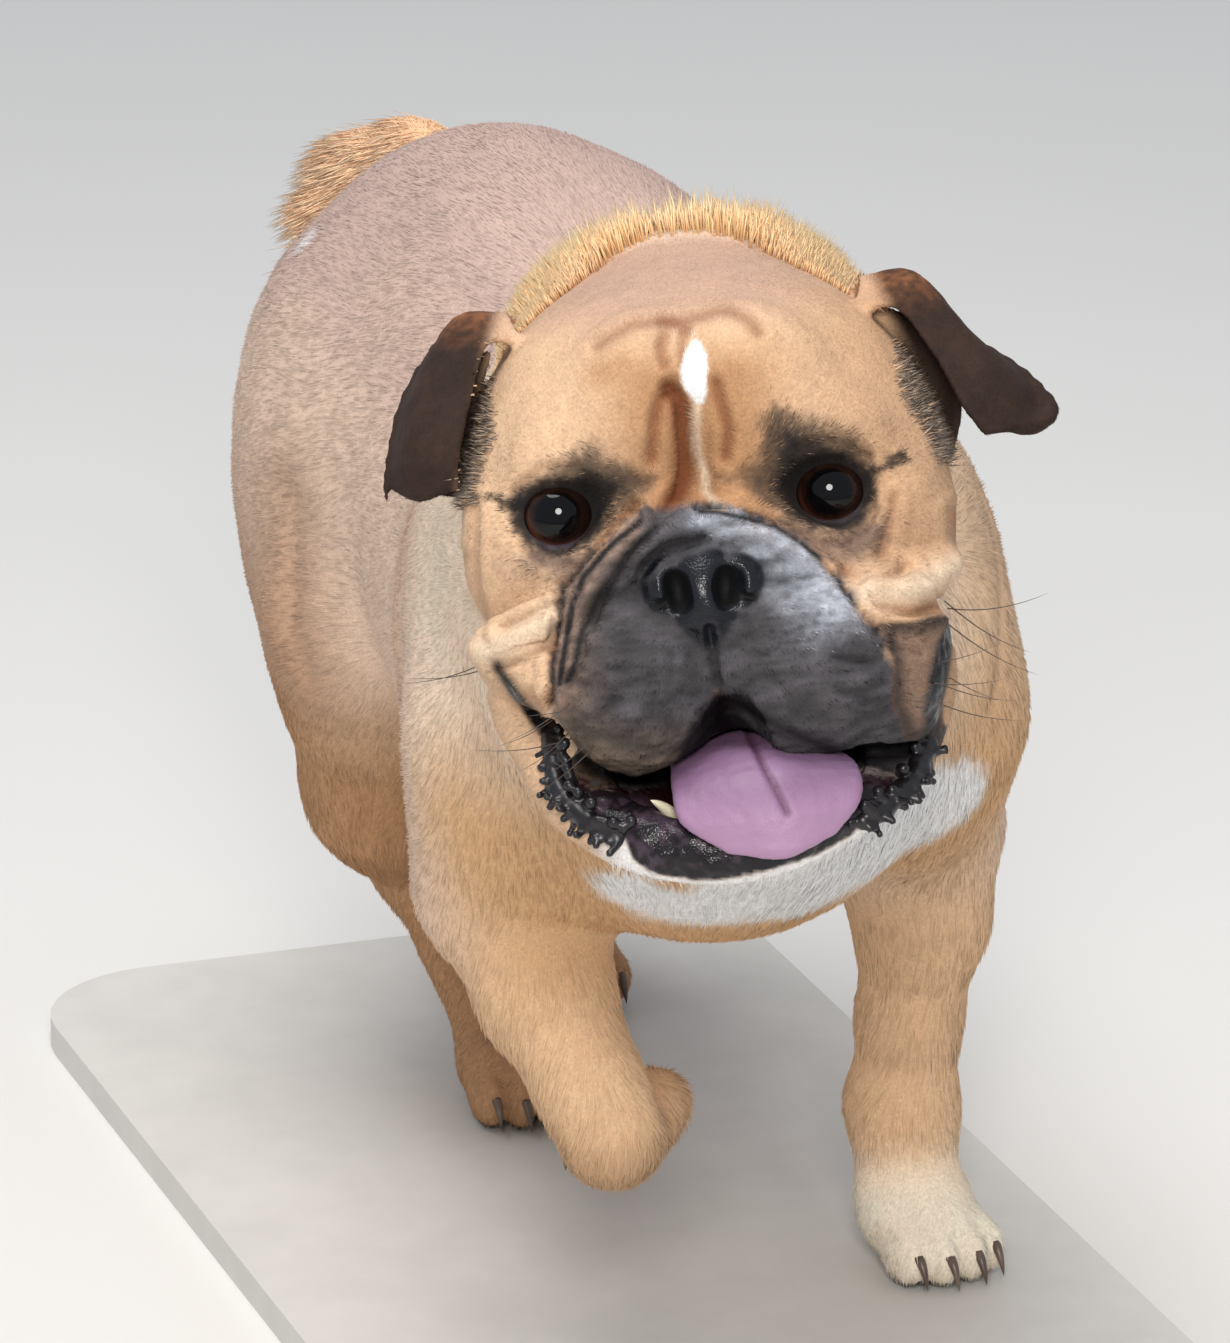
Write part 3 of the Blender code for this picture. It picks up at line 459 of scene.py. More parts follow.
def hind_leg_left_forms():
    return [
        ellipsoid((0.064, 0.290, 0.280), (0.044, 0.084, 0.100), 0.04, turn(x=8)),
        *chain([(0.068, 0.262, 0.230, 0.047), (0.068, 0.350, 0.150, 0.034),
                (0.066, 0.402, 0.112, 0.024)], 0.03),
        *chain([(0.066, 0.404, 0.108, 0.0215), (0.064, 0.394, 0.040, 0.0200)], 0.014),
        ellipsoid((0.066, 0.422, 0.120), (0.013, 0.013, 0.017), 0.012),
        *paw_forms(*PAWS["hind_left"]),
    ]


# Head

def skull_forms():
    forms = [
        head_ball((5, 46, 28), (85, 72, 57), 18),
        head_ball((5, 60, 40), (72, 60, 46), 18),
        head_ball((5, -6, -30), (60, 36, 44), 16),
    ]
    for side, _ in SIDES:
        forms += [
            head_ball((5 + side * 63, 32, -10), (30, 46, 44), 18),
            head_ball((4 + side * 36, -5, 22), (30, 15, 16), 16),
            head_ball((6 + side * 20, -6, 42), (22, 16, 28), 18),
        ]
    forms.append(head_ball((2, -30, 4), (5, 13, 26), 12, cut=True))
    forms += [head_ball((side * EYE_APART, -17, -1), (17, 13, 12), 10, cut=True) for side, _ in SIDES]
    return forms


def muzzle_forms():
    right_flew = head_ball((-27, -36, -64), (29, 29, 33), 10)
    left_flew = head_ball((36, -39, -63), (37, 27, 33), 10)
    left_hang = head_ball((64, -20, -62), (26, 34, 35), 8)
    over_nose = [(-47, -28, -52, 7), (-41, -36, -33, 7), (-30, -42, -20, 7), (-16, -45, -13, 6.5),
                 (0, -46, -10, 6), (16, -45, -12, 6.5), (32, -42, -20, 7), (46, -36, -34, 7),
                 (58, -27, -52, 7)]
    return [
        head_ball((4, -22, -44), (54, 29, 36), 14),
        *head_roll([(-48, -32, -62, 12), (-64, -14, -56, 10), (-77, 6, -52, 8)], 8),
        right_flew, left_flew, left_hang,
        *head_roll(over_nose, 5),
    ]


def nose_pad():
    """The leather of the nose and its two wings."""
    x, y, z = NOSE_AT
    wings = [head_ball((x + side * 12.5, y + 1.5, z + 3), NOSE_WING_HALF, 4) for side, _ in SIDES]
    return [head_ball(NOSE_AT, NOSE_HALF, 4), *wings]


def nose_forms():
    nostrils = [head_ball((1.5 + side * 10.5, -62, -31), (4.4, 11, 8.5), 2.5, (0, side * 10, 0), True)
                for side, _ in SIDES]
    slits = []
    for side, _ in SIDES:
        slit = [(1.5 + side * 11, -63, -38, 2.6), (1.5 + side * 17, -61, -38, 2.2),
                (1.5 + side * 21, -57, -33, 1.6)]
        slits += head_roll(slit, 1.5, True)
    groove = [(1.5, -63, -46, 1.6), (1.8, -62, -54, 1.6), (3, -66, -62, 1.8), (3.4, -65, -74, 2.2)]
    return [*nose_pad(), *nostrils, *slits, *head_roll(groove, 2, True)]


def jaw_forms():
    lip = [(-74, 12, -66, 9), (-63, -10, -88, 9), (-52, -28, -106, 10), (-30, -42, -120, 11),
           (-5, -48, -126, 11), (18, -47, -125, 11), (42, -38, -117, 10), (60, -24, -107, 10),
           (72, -6, -95, 9), (80, 12, -76, 9), (82, 28, -58, 8)]
    return [
        head_ball((6, 14, -100), (62, 52, 34), 14),
        head_ball((8, -8, -112), (58, 38, 20), 12),
        *head_roll(lip, 7),
    ]


def mouth_forms():
    """The open mouth, cut between the flews and the lower lip."""
    return [
        head_ball((8, -14, -98), (46, 44, 17), 4, (18, 0, 0), True),
        head_ball((-42, -12, -86), (26, 26, 9), 4, (28, -38, 0), True),
        head_ball((58, -24, -94), (20, 20, 6), 4, (28, 20, 0), True),
        head_ball((8, -48, -86), (12, 20, 16), 4, cut=True),
    ]


def cheek_forms():
    """Rolls of skin at the mouth's corners."""
    right = [(-52, -26, -34, 5), (-65, -17, -40, 7), (-77, -2, -45, 7), (-80, 14, -47, 6)]
    left = [(54, -26, -32, 5), (66, -19, -38, 7), (81, -4, -33, 7.5), (89, 14, -28, 6)]
    return [*head_roll(right, 5), *head_roll(left, 5)]


def lid_ring(side, steps):
    """Places in the head frame along the edge of the lids, from corner to corner and back."""
    ring = []
    for k in range(steps + 1):
        a = 2 * pi * k / steps
        x, z = LID_HALF_WIDTH * cos(a), LID_HALF_HEIGHT * sin(a)
        y = EYE_BACK - sqrt((EYE_RADIUS + 0.8) ** 2 - x * x - z * z)
        ring.append((side * EYE_APART + x, y, z))
    return ring


def lid_forms():
    forms = []
    for side, _ in SIDES:
        forms += chain([(*head(*place), LID_THICK * MM) for place in lid_ring(side, 12)], 3 * MM)
    return forms


def ear_forms():
    """The right ear hangs by the cheek and the left one outward, in rows from front to back edge."""
    right = [
        [(-60, 38, 66), (-64, 52, 76), (-62, 68, 74)],
        [(-72, 30, 66), (-82, 46, 76), (-84, 66, 72)],
        [(-80, 22, 46), (-96, 34, 52), (-103, 56, 50)],
        [(-86, 16, 26), (-103, 26, 28), (-111, 46, 26)],
        [(-88, 18, 14), (-102, 26, 11), (-111, 40, 16)],
    ]
    left = [
        [(68, 38, 66), (70, 52, 78), (68, 70, 74)],
        [(82, 30, 66), (89, 46, 78), (90, 68, 72)],
        [(95, 26, 46), (105, 38, 56), (108, 60, 52)],
        [(103, 22, 28), (119, 32, 37), (126, 50, 37)],
        [(110, 24, 17), (124, 30, 18), (132, 42, 22)],
    ]
    return [head_sheet(right, EAR_THICK, 5), head_sheet(left, EAR_THICK, 5)]


def flesh_forms():
    return [*torso_forms(), *neck_forms(), *skull_forms(), *jaw_forms(), *muzzle_forms(), *cheek_forms(),
            *mouth_forms(), *nose_forms(), *lid_forms(), *ear_forms(), *front_leg_left_forms(),
            *front_leg_right_forms(), *hind_leg_left_forms(), *hind_leg_right_forms(), *tail_forms()]


def tongue_forms():
    """A wide tongue that comes over the lower lip and hangs to the animal's left."""
    rows = [
        [(-14, 6, -90), (10, 6, -86), (34, 6, -92)],
        [(-14, -26, -95), (11, -28, -88), (42, -24, -96)],
        [(-14, -50, -102), (14, -55, -97), (48, -46, -101)],
        [(-12, -60, -113), (18, -66, -112), (48, -57, -111)],
        [(3, -62, -124), (22, -66, -127), (39, -60, -121)],
    ]
    return [head_sheet(rows, TONGUE_THICK, 4)]


# Grid and mesh

def soft_join(a, b, blend):
    share = np.clip(0.5 + 0.5 * (b - a) / blend, 0, 1)
    return b + (a - b) * share - blend * share * (1 - share)


def spaced(low, high, step, fine, share):
    """Steps from low to high that are shorter within the fine stretch."""
    line = [low]
    while line[-1] < high:
        inside = fine[0] < line[-1] < fine[1]
        line.append(line[-1] + (share * step if inside else step))
    return np.array(line)


def field_on_grid(forms, axes, step):
    field = np.full([len(axis) for axis in axes], 0.05)
    for form in forms:
        reach = form.blend + 3 * step
        first = [np.searchsorted(axes[i], form.low[i] - reach) for i in range(3)]
        last = [np.searchsorted(axes[i], form.high[i] + reach) for i in range(3)]
        if min(b - a for a, b in zip(first, last)) < 1:
            continue
        box = tuple(slice(a, b) for a, b in zip(first, last))
        points = np.stack(np.meshgrid(*(axes[i][box[i]] for i in range(3)), indexing="ij"), -1)
        near = form.distance(points)
        old = field[box]
        field[box] = -soft_join(-old, near, form.blend) if form.cut else soft_join(old, near, form.blend)
    return field


def surface(forms, step, fine=((1, 1), (1, 1), (1, 1)), share=1.0, depth=None):
    """Points and faces of the surface of the forms, set inside it by the depth over the grid, if any."""
    margin = 4 * step
    low = np.min([f.low for f in forms if not f.cut], 0) - margin
    high = np.max([f.high for f in forms if not f.cut], 0) + margin
    axes = [spaced(low[i], high[i], step, fine[i], share) for i in range(3)]
    field = field_on_grid(forms, axes, step)
    if depth is not None:
        field += depth(axes)
    grid = openvdb.FloatGrid(background=0.05)
    grid.copyFromArray(field.astype(np.float32))
    points, _, quads = grid.convertToPolygons(isovalue=0.0, adaptivity=0.0)
    points = np.stack([np.interp(points[:, i], np.arange(len(axes[i])), axes[i]) for i in range(3)], 1)
    return largest_part(points, quads.astype(np.int64))


def largest_part(points, quads):
    """Keep the largest connected surface, turned so that its faces point out."""
    label = np.arange(len(points))
    ends = np.concatenate([quads[:, [0, 1]], quads[:, [1, 2]], quads[:, [2, 3]]])
    while True:
        least = np.minimum(label[ends[:, 0]], label[ends[:, 1]])
        new = label.copy()
        np.minimum.at(new, label[ends[:, 0]], least)
        np.minimum.at(new, label[ends[:, 1]], least)
        new = new[new]
        if (new == label).all():
            break
        label = new
    names, counts = np.unique(label, return_counts=True)
    keep = label == names[counts.argmax()]
    index = np.cumsum(keep) - 1
    quads = index[quads[keep[quads[:, 0]]]]
    points = points[keep]
    a, b, c = points[quads[:, 0]], points[quads[:, 1]], points[quads[:, 2]]
    if np.einsum("ij,ij->i", a, np.cross(b, c)).sum() < 0:
        quads = quads[:, ::-1]
    return points, quads


def make_object(name, points, faces):
    """A new object from arrays of points and of faces that all have the same number of corners."""
    mesh = bpy.data.meshes.new(name)
    corners = faces.shape[1]
    mesh.vertices.add(len(points))
    mesh.vertices.foreach_set("co", np.asarray(points, np.float32).ravel())
    mesh.loops.add(faces.size)
    mesh.loops.foreach_set("vertex_index", np.asarray(faces, np.int32).ravel())
    mesh.polygons.add(len(faces))
    mesh.polygons.foreach_set("loop_start", np.arange(0, faces.size, corners, dtype=np.int32))
    mesh.polygons.foreach_set("use_smooth", np.ones(len(faces), bool))
    mesh.update(calc_edges=True)
    obj = bpy.data.objects.new(name, mesh)
    bpy.context.scene.collection.objects.link(obj)
    return obj


def normals_of(obj):
    flat = np.empty(len(obj.data.vertices) * 3, np.float32)
    obj.data.vertices.foreach_get("normal", flat)
    return flat.reshape(-1, 3).astype(float)


def set_points(obj, points):
    obj.data.vertices.foreach_set("co", np.asarray(points, np.float32).ravel())
    obj.data.update()


def set_colour(obj, colours, name="Coat"):
    """Keep a colour at each point of the mesh, from linear red, green and blue."""
    layer = obj.data.color_attributes.new(name, "FLOAT_COLOR", "POINT")
    full = np.ones((len(colours), 4), np.float32)
    full[:, :3] = colours
    layer.data.foreach_set("color", full.ravel())


def set_value(obj, values, name):
    layer = obj.data.attributes.new(name, "FLOAT", "POINT")
    layer.data.foreach_set("value", np.asarray(values, np.float32))


# Measures for markings

def smooth(x, low, high):
    t = np.clip((x - low) / (high - low), 0, 1)
    return t * t * (3 - 2 * t)


def noise(p, size, seed=0):
    """Smooth random values from -1 to 1 that change over the size given."""
    q = p / size + 100.0
    cell = np.floor(q).astype(np.int64)
    f = q - cell
    f = f * f * (3 - 2 * f)
    total = np.zeros(len(p))
    for dx in (0, 1):
        for dy in (0, 1):
            for dz in (0, 1):
                n = (cell[:, 0] + dx) * 374761393 + (cell[:, 1] + dy) * 668265263
                n = n + (cell[:, 2] + dz) * 2246822519 + seed * 3266489917
                n = (n ^ (n >> 13)) * 1274126177
                n = (n ^ (n >> 16)) & 0xFFFF
                weight = (f[:, 0] if dx else 1 - f[:, 0]) * (f[:, 1] if dy else 1 - f[:, 1])
                total += weight * (f[:, 2] if dz else 1 - f[:, 2]) * (n / 32767.5 - 1)
    return total


def off_path(p, path):
    """Distance of each point from a line through the places given, in as many dimensions as they have."""
    path = np.array(path, float)
    best = np.full(len(p), 1e9)
    for a, b in zip(path, path[1:]):
        run = b - a
        t = np.clip(((p - a) @ run) / (run @ run), 0, 1)
        best = np.minimum(best, np.sqrt(((p - a - t[:, None] * run) ** 2).sum(1)))
    return best


def off_outline(p, outline):
    """Distance of each x, z point from a closed outline, below zero inside it."""
    ring = np.array(outline, float)
    away = off_path(p, np.vstack([ring, ring[:1]]))
    inside = np.zeros(len(p), bool)
    for a, b in zip(ring, np.roll(ring, -1, 0)):
        crosses = (a[1] > p[:, 1]) != (b[1] > p[:, 1])
        with np.errstate(divide="ignore", invalid="ignore"):
            at = (b[0] - a[0]) * (p[:, 1] - a[1]) / (b[1] - a[1]) + a[0]
        inside ^= crosses & (p[:, 0] < at)
    return np.where(inside, -away, away)


def tint(red, green, blue):
    """A colour given as it looks, from 0 to 255, as linear light."""
    c = np.array([red, green, blue]) / 255
    return np.where(c < 0.04045, c / 12.92, ((c + 0.055) / 1.055) ** 2.4)


def lay(base, colour, share):
    """Lay a colour over another one by a share for each point."""
    return base + (np.asarray(colour) - base) * np.clip(share, 0, 1)[:, None]


def in_head_frame(p):
    return (p - np.array(HEAD_AT)) @ HEAD_AXES / MM


def ear_share(h):
    """1 on the flaps of the ears and 0 on the head beside them."""
    right = (h - np.array((-77, 44, 42))) @ np.array((-0.962, 0, 0.272))
    left = (h - np.array((86, 44, 44))) @ np.array((0.945, 0, 0.327))
    on_flap = smooth(np.maximum(right, left), -4, 4)
    return on_flap * (h[:, 2] > 2) * (h[:, 1] > 4) * (h[:, 1] < 82) * (h[:, 2] < 100)


def on_front(h):
    """1 on the front of the head, where the folds and markings of the face are."""
    across = np.abs(h[:, 0] - MIDDLE)
    return (1 - smooth(h[:, 1], 34, 62)) * (h[:, 2] > -142) * (across < 112) * (h[:, 1] > -120)


def head_share(h):
    return (1 - smooth(h[:, 1], 76, 100)) * (h[:, 2] > -125) * (h[:, 2] < 125) * (np.abs(h[:, 0]) < 150)


# Markings of skin and coat alike, with painted shade in creases and on undersides, and a painted sky sheen
# on the back

BACK_AND_SKY_SHEEN = tint(198, 170, 158)
FLANK = tint(234, 204, 180)
THIGH_TONE_AND_SHADE = tint(170, 120, 78)
NECK = tint(250, 224, 198)
CHEST = tint(218, 174, 128)
UNDERSIDE_SHADE = tint(204, 166, 130)
SHADED = tint(160, 112, 74)
LEG = tint(226, 186, 146)
PALE_PAW = tint(250, 234, 210)
RUFF = tint(248, 188, 126)
RUFF_ROOT = tint(126, 70, 38)
TAIL = tint(250, 200, 158)
CROWN = tint(196, 160, 138)
FACE = tint(222, 184, 148)
BROW_AND_SIDE_SHADE = tint(184, 138, 98)
CREASE_RED_AND_SHADE = tint(128, 72, 40)
CREAM = tint(238, 212, 182)
SOOT = tint(34, 31, 32)
MASK = tint(30, 26, 26)
GREY = tint(104, 100, 104)
ROLL_BROWN = tint(164, 136, 120)
WHITE = tint(244, 242, 240)
WHITE_HAIRS = tint(184, 188, 198)
UNDER_EYE = tint(112, 92, 82)
EAR = tint(50, 33, 24)
EAR_ROOT = tint(128, 80, 48)
EAR_GAP_DARK_AND_SHADE = tint(30, 25, 25)
LIP = tint(26, 22, 25)
GUM = tint(62, 26, 28)
NOSE = tint(26, 28, 34)


def body_colours(p, n):
    rough = noise(p, 0.030, 3)
    fine = noise(p, 0.006, 4)
    x, y, z = p.T
    colours = np.tile(FLANK, (len(p), 1))
    # greyer mauve on the upward-facing back: partly the coat's own tone, partly a painted sheen of the sky
    colours = lay(colours, BACK_AND_SKY_SHEEN, smooth(n[:, 2] + 0.15 * rough, 0.0, 0.7) * smooth(z, 0.28, 0.38))
    # darker, redder tan low on the hind quarters: partly the coat's own tone, partly painted shade
    colours = lay(colours, THIGH_TONE_AND_SHADE, smooth(y, 0.16, 0.25) * (1 - smooth(z, 0.16, 0.33)))
    colours = lay(colours, NECK, (1 - smooth(y, -0.04, 0.05)) * smooth(z, 0.20, 0.30))
    colours = lay(colours, CHEST, (1 - smooth(y, -0.06, 0.0)) * (1 - smooth(z, 0.24, 0.31)))
    colours = lay(colours, CHEST, 0.6 * smooth(x, 0.05, 0.09) * (1 - smooth(y, -0.03, 0.03)))
    # darker tan on the downward-facing underside: painted shade
    underside_shade = 0.8 * smooth(-n[:, 2], 0.3, 0.8) * smooth(z, 0.14, 0.18) * smooth(y, 0.0, 0.06)
    colours = lay(colours, UNDERSIDE_SHADE, underside_shade)
    # painted shade along the body's creases, darker the deeper the crease
    for path, width, depth in BODY_FOLDS:
        colours = lay(colours, SHADED, 0.10 * depth * np.exp(-(off_path(p, path) / (0.0024 * width)) ** 2))
    low = 1 - smooth(z, 0.15, 0.20)
    colours = lay(colours, LEG, low)
    # the same darker tan on the hind legs: partly the coat's own tone, partly painted shade
    colours = lay(colours, THIGH_TONE_AND_SHADE, 0.7 * low * smooth(y, 0.15, 0.2))
    pale = (1 - smooth(z + 0.008 * rough, 0.030, 0.070)) * smooth(x, 0.04, 0.06)
    colours = lay(colours, PALE_PAW, pale * (1 - smooth(y, 0.10, 0.15)))
    # darker, redder tan low on the lifted paw: painted shade
    lifted = (x < -0.02) & (y < 0.06)
    colours = lay(colours, tint(176, 138, 104), 0.6 * (1 - smooth(z, 0.10, 0.135)) * lifted)
    patch = off_path(p, CHEST_PATCH) + 0.005 * rough + 0.002 * fine
    colours = lay(colours, WHITE, 1 - smooth(patch, 0.016, 0.024))
    top = 0.300 - 0.055 * smooth(x, 0.020, 0.070)
    throat = (1 - smooth(y, -0.075, -0.055)) * smooth(z, 0.205, 0.220) * (1 - smooth(z - top, 0.0, 0.015))
    ragged = x + 0.008 * rough
    throat = throat * smooth(ragged, -0.066, -0.052) * (1 - smooth(ragged, 0.072, 0.086))
    colours = lay(colours, WHITE, throat)
    spot = off_path(p, (RUMP_SPOT, RUMP_SPOT + np.array((0, 0.001, 0))))
    colours = lay(colours, WHITE, 0.7 * (1 - smooth(spot + 0.002 * fine, 0.003, 0.011)))
    tail = off_path(p, TAIL_LINE)
    colours = lay(colours, TAIL, 1 - smooth(tail, 0.022, 0.046))
    nape = off_path(in_head_frame(p), np.array(RUFF_ROLL)[:, :3])
    colours = lay(colours, RUFF, 0.85 * (1 - smooth(nape + 3 * rough, 12, 34)))
    return colours * (1 + 0.04 * rough + 0.04 * fine)[:, None]


def lip_share(h):
    """1 on the wet skin of lips and gums."""
    flat = h[:, [0, 2]]
    share = (1 - smooth(off_outline(flat, LIPS) + 0.5 * noise(h, 2.2, 6), -0.8, 1.0)) * on_front(h)
    inside = (h[:, 2] < -74) * (h[:, 2] > -118) * (h[:, 1] > -40) * (np.abs(h[:, 0] - MIDDLE) < 56)
    inside = inside * on_front(h)
    return np.maximum(share * (h[:, 2] < -46) * (h[:, 1] < 36), inside)


def face_colours(h, toss=None):
    """Where a toss is given for each tuft, a tuft in a soft edge takes one colour or the other."""
    def pick(share):
        return share if toss is None else 0.3 * share + 0.7 * (toss < share)

    front = on_front(h)
    flat = h[:, [0, 2]]
    x, y, z = h.T
    rough = noise(h, 9.0, 5)
    fine = noise(h, 2.2, 6)
    grain = noise(h, 0.9, 7)
    shift = 1.6 * rough + 1.2 * fine + 0.8 * grain
    colours = np.tile(FACE, (len(h), 1))
    colours = lay(colours, CROWN, smooth(z + 3 * rough, 58, 80) * (1 - 0.4 * smooth(np.abs(x), 30, 60)))
    brow = (1 - smooth(np.abs(x - MIDDLE), 14, 46)) * (1 - smooth(z + 2 * rough, 44, 66)) * front
    colours = lay(colours, BROW_AND_SIDE_SHADE, brow)
    colours = lay(colours, BROW_AND_SIDE_SHADE, 0.7 * np.exp(-(off_path(flat, ((-22, 52), (-30, 50))) / 5) ** 2) * front)
    # the side of the face away from the light made darker: painted shade
    colours = lay(colours, BROW_AND_SIDE_SHADE, 0.45 * smooth(x, 26, 70) * front)
    # reddish skin down the valley between the eyes and in the brow creases, darkened by depth as painted
    # shade
    colours = lay(colours, CREASE_RED_AND_SHADE, 0.85 * front * np.exp(-(off_path(flat, VALLEY) / 4.2) ** 2))
    for line, width, depth in BROW_FOLDS:
        away = off_path(flat, line) / (1.05 * width)
        colours = lay(colours, CREASE_RED_AND_SHADE, (0.30 + 0.22 * depth) * front * np.exp(-away ** 2))
    # painted shade along the other creases of the face, darker the deeper the crease
    for line, width, depth in FOLDS[len(BROW_FOLDS):]:
        away = off_path(flat, line) / (0.85 * width)
        colours = lay(colours, tint(150, 96, 58), 0.22 * depth * front * np.exp(-away ** 2))
    for line in UNDER_EYES:
        away = (off_path(flat, line) + shift) / 7.5
        colours = lay(colours, UNDER_EYE, pick(0.85 * front * np.exp(-away ** 2)))
    for line in CREAM_FOLDS:
        colours = lay(colours, CREAM, 0.9 * front * np.exp(-(off_path(flat, line) / 6.0) ** 2))
    away = (off_path(flat, PALE_LINE) + 0.5 * fine) / 1.7
    colours = lay(colours, CREAM, 0.85 * front * np.exp(-away ** 2))
    colours = lay(colours, WHITE, front * (1 - smooth(off_outline(flat, BLAZE) + 0.6 * fine, -0.8, 1.0)))
    for outline in MASKS:
        inner = off_outline(flat, outline) + 1.2 * shift + 2.2
        dark = 0.80 * (1 - smooth(inner, -1.0, 7.0)) + 0.18 * (1 - smooth(inner, -8, -1))
        colours = lay(colours, MASK, pick(front * dark))
    for line in STREAKS:
        streak = 1 - smooth(off_path(flat, line) + shift, 0.6, 3.6)
        colours = lay(colours, MASK, pick(0.85 * front * streak))
    near_eye = np.minimum(*(np.hypot((x - side * EYE_APART) / 17.5, z / 15.0) for side, _ in SIDES))
    colours = lay(colours, MASK, 0.9 * front * (1 - smooth(near_eye + 0.05 * shift, 0.80, 1.10)))
    muzzle = front * (1 - smooth(off_outline(flat, MUZZLE) + shift, -1.5, 2.5)) * (z > -108)
    speck = 0.5 if toss is None else smooth(np.modf(toss * 7.13)[0], 0.35, 0.9)
    fur = lay(np.tile(SOOT, (len(h), 1)), GREY, (0.04 + 0.80 * speck) * (0.85 + 0.25 * rough))
    brown = 0.7 * smooth(-z, 70, 96) * (1 - smooth(x, -16, 4)) + 0.5 * smooth(-x, 30, 52)
    fur = lay(fur, tint(122, 98, 70), brown * (0.15 + 0.9 * speck))
    for line in BROWN_ROLLS:
        fur = lay(fur, ROLL_BROWN, 0.90 * np.exp(-((off_path(flat, line) + rough) / 6.0) ** 2))
    for line, width, most in zip(WHITE_HAIR, (7.0, 5.5, 6.0), (1.0, 0.75, 0.35)):
        streak = np.exp(-((off_path(flat, line) + 1.5 * rough) / width) ** 2)
        fur = lay(fur, WHITE_HAIRS, pick(0.95 * most * streak * (0.72 + 0.4 * fine)))
    # painted shade along the creases of the muzzle, darker the deeper the crease
    for line, width, depth in FOLDS[len(BROW_FOLDS):]:
        fur = lay(fur, SOOT, 0.42 * depth * np.exp(-(off_path(flat, line) / (0.8 * width)) ** 2))
    long = h * (0.6, 0.8, 1.7)
    fur = fur * np.clip(1 + 0.40 * noise(long, 6.5, 16) + 0.35 * noise(long, 3.0, 17), 0.3, 1.8)[:, None]
    colours = colours + (fur - colours) * pick(muzzle)[:, None]
    corner = off_outline(flat, GREY_CORNER)
    in_corner = 1 - smooth(corner + rough, -1, 2)
    colours = lay(colours, tint(132, 106, 90), 0.9 * front * in_corner)
    colours = lay(colours, SOOT, pick(0.75 * front * in_corner * smooth(corner, -7, -1)))
    below = lip_share(h) * (1 - muzzle)
    colours = lay(colours, LIP, below)
    inside = below * smooth(y, -44, -28) * (np.abs(x - MIDDLE) < 58) * smooth(-z, 92, 100)
    colours = lay(colours, GUM, 0.8 * inside)
    colours = lay(colours, tint(88, 70, 84), 0.5 * below * smooth(fine + rough, 0.0, 0.8) * (z < -104))
    chin = (z < -100) * (y < 60) * (1 - below) * (1 - muzzle)
    chin = chin * smooth(-off_outline(flat, LIPS) + 30, 0, 6)
    chin = chin * (1 - smooth(np.abs(x - 14) + 3 * rough, 50, 64))
    colours = lay(colours, WHITE, 0.92 * chin)
    for line in EDGE_OF_LIP:
        colours = lay(colours, LIP, front * (z < -46) * np.exp(-(off_path(flat, line) / 2.6) ** 2))
    arch = off_path(flat, ((-12, -98), (-2, -86), (4, -77), (12, -88)))
    colours = lay(colours, tint(12, 9, 11), front * (z < -70) * (1 - smooth(arch, 3, 7)))
    nose = front * (1 - smooth(nose_distance(h), -0.2, 1.2))
    colours = lay(colours, NOSE, nose)
    openings = [np.hypot((x - 0.3 - side * 8.8) / 5.2, (z + 31) / 8.6) for side, _ in SIDES]
    for side, _ in SIDES:
        out = x - 1.0 - side * 15.5
        openings.append(np.hypot(out / 6.2, (z + 35.5 + side * 0.28 * out) / 2.0))
    # near black in the nostril openings: painted shade inside them
    hollow = nose * (1 - smooth(np.minimum.reduce(openings), 0.78, 1.02))
    colours = lay(colours, tint(5, 5, 6), hollow)
    lids = front * (1 - smooth(lid_distance(h), 1.6, 3.2))
    colours = lay(colours, LIP, lids)
    lower = lids * smooth(-z, 2, 8)
    colours = lay(colours, tint(112, 98, 108), 0.55 * lower * smooth(lid_distance(h), 0.8, 1.8))
    edge = sum(np.exp(-(off_path(flat, line) / 2.4) ** 2) for line in EDGE_OF_LIP)
    wet_edge = 0.35 * front * (z < -46) * edge
    wet = np.maximum.reduce([below, nose * (1 - 0.8 * hollow), 0.8 * lids, wet_edge])
    # dark strip on the head under each ear flap: partly the dark skin of the ear's opening, partly painted
    # shade
    side = (1 - smooth(y, 54, 66)) * smooth(y, 8, 16) * smooth(np.abs(x - 5), 74, 80)
    ear_gap_shade = side * smooth(z, 4, 14) * (1 - smooth(z, 64, 74)) * (1 - ear_share(h))
    colours = lay(colours, EAR_GAP_DARK_AND_SHADE, 0.93 * ear_gap_shade)
    flap = ear_share(h)
    ears = lay(np.tile(EAR, (len(h), 1)), EAR_ROOT, smooth(z + 4 * rough, 60, 80) * (0.6 + 0.4 * fine))
    ears = ears * (1 + 0.22 * rough + 0.14 * fine)[:, None]
    colours = colours + (ears - colours) * flap[:, None]
    shade = 1 + 0.05 * rough + 0.07 * fine + 0.05 * grain
    return colours * shade[:, None], np.clip(wet, 0, 1) * (1 - flap)


def nose_distance(h):
    """Distance from the pad of the nose, from its own forms, in millimetres."""
    p = np.array(HEAD_AT) + (h * MM) @ HEAD_AXES.T
    return np.min([form.distance(p) for form in nose_pad()], 0) / MM


def lid_distance(h):
    return np.minimum(*(off_path(h, lid_ring(side, 24)) for side, _ in SIDES))


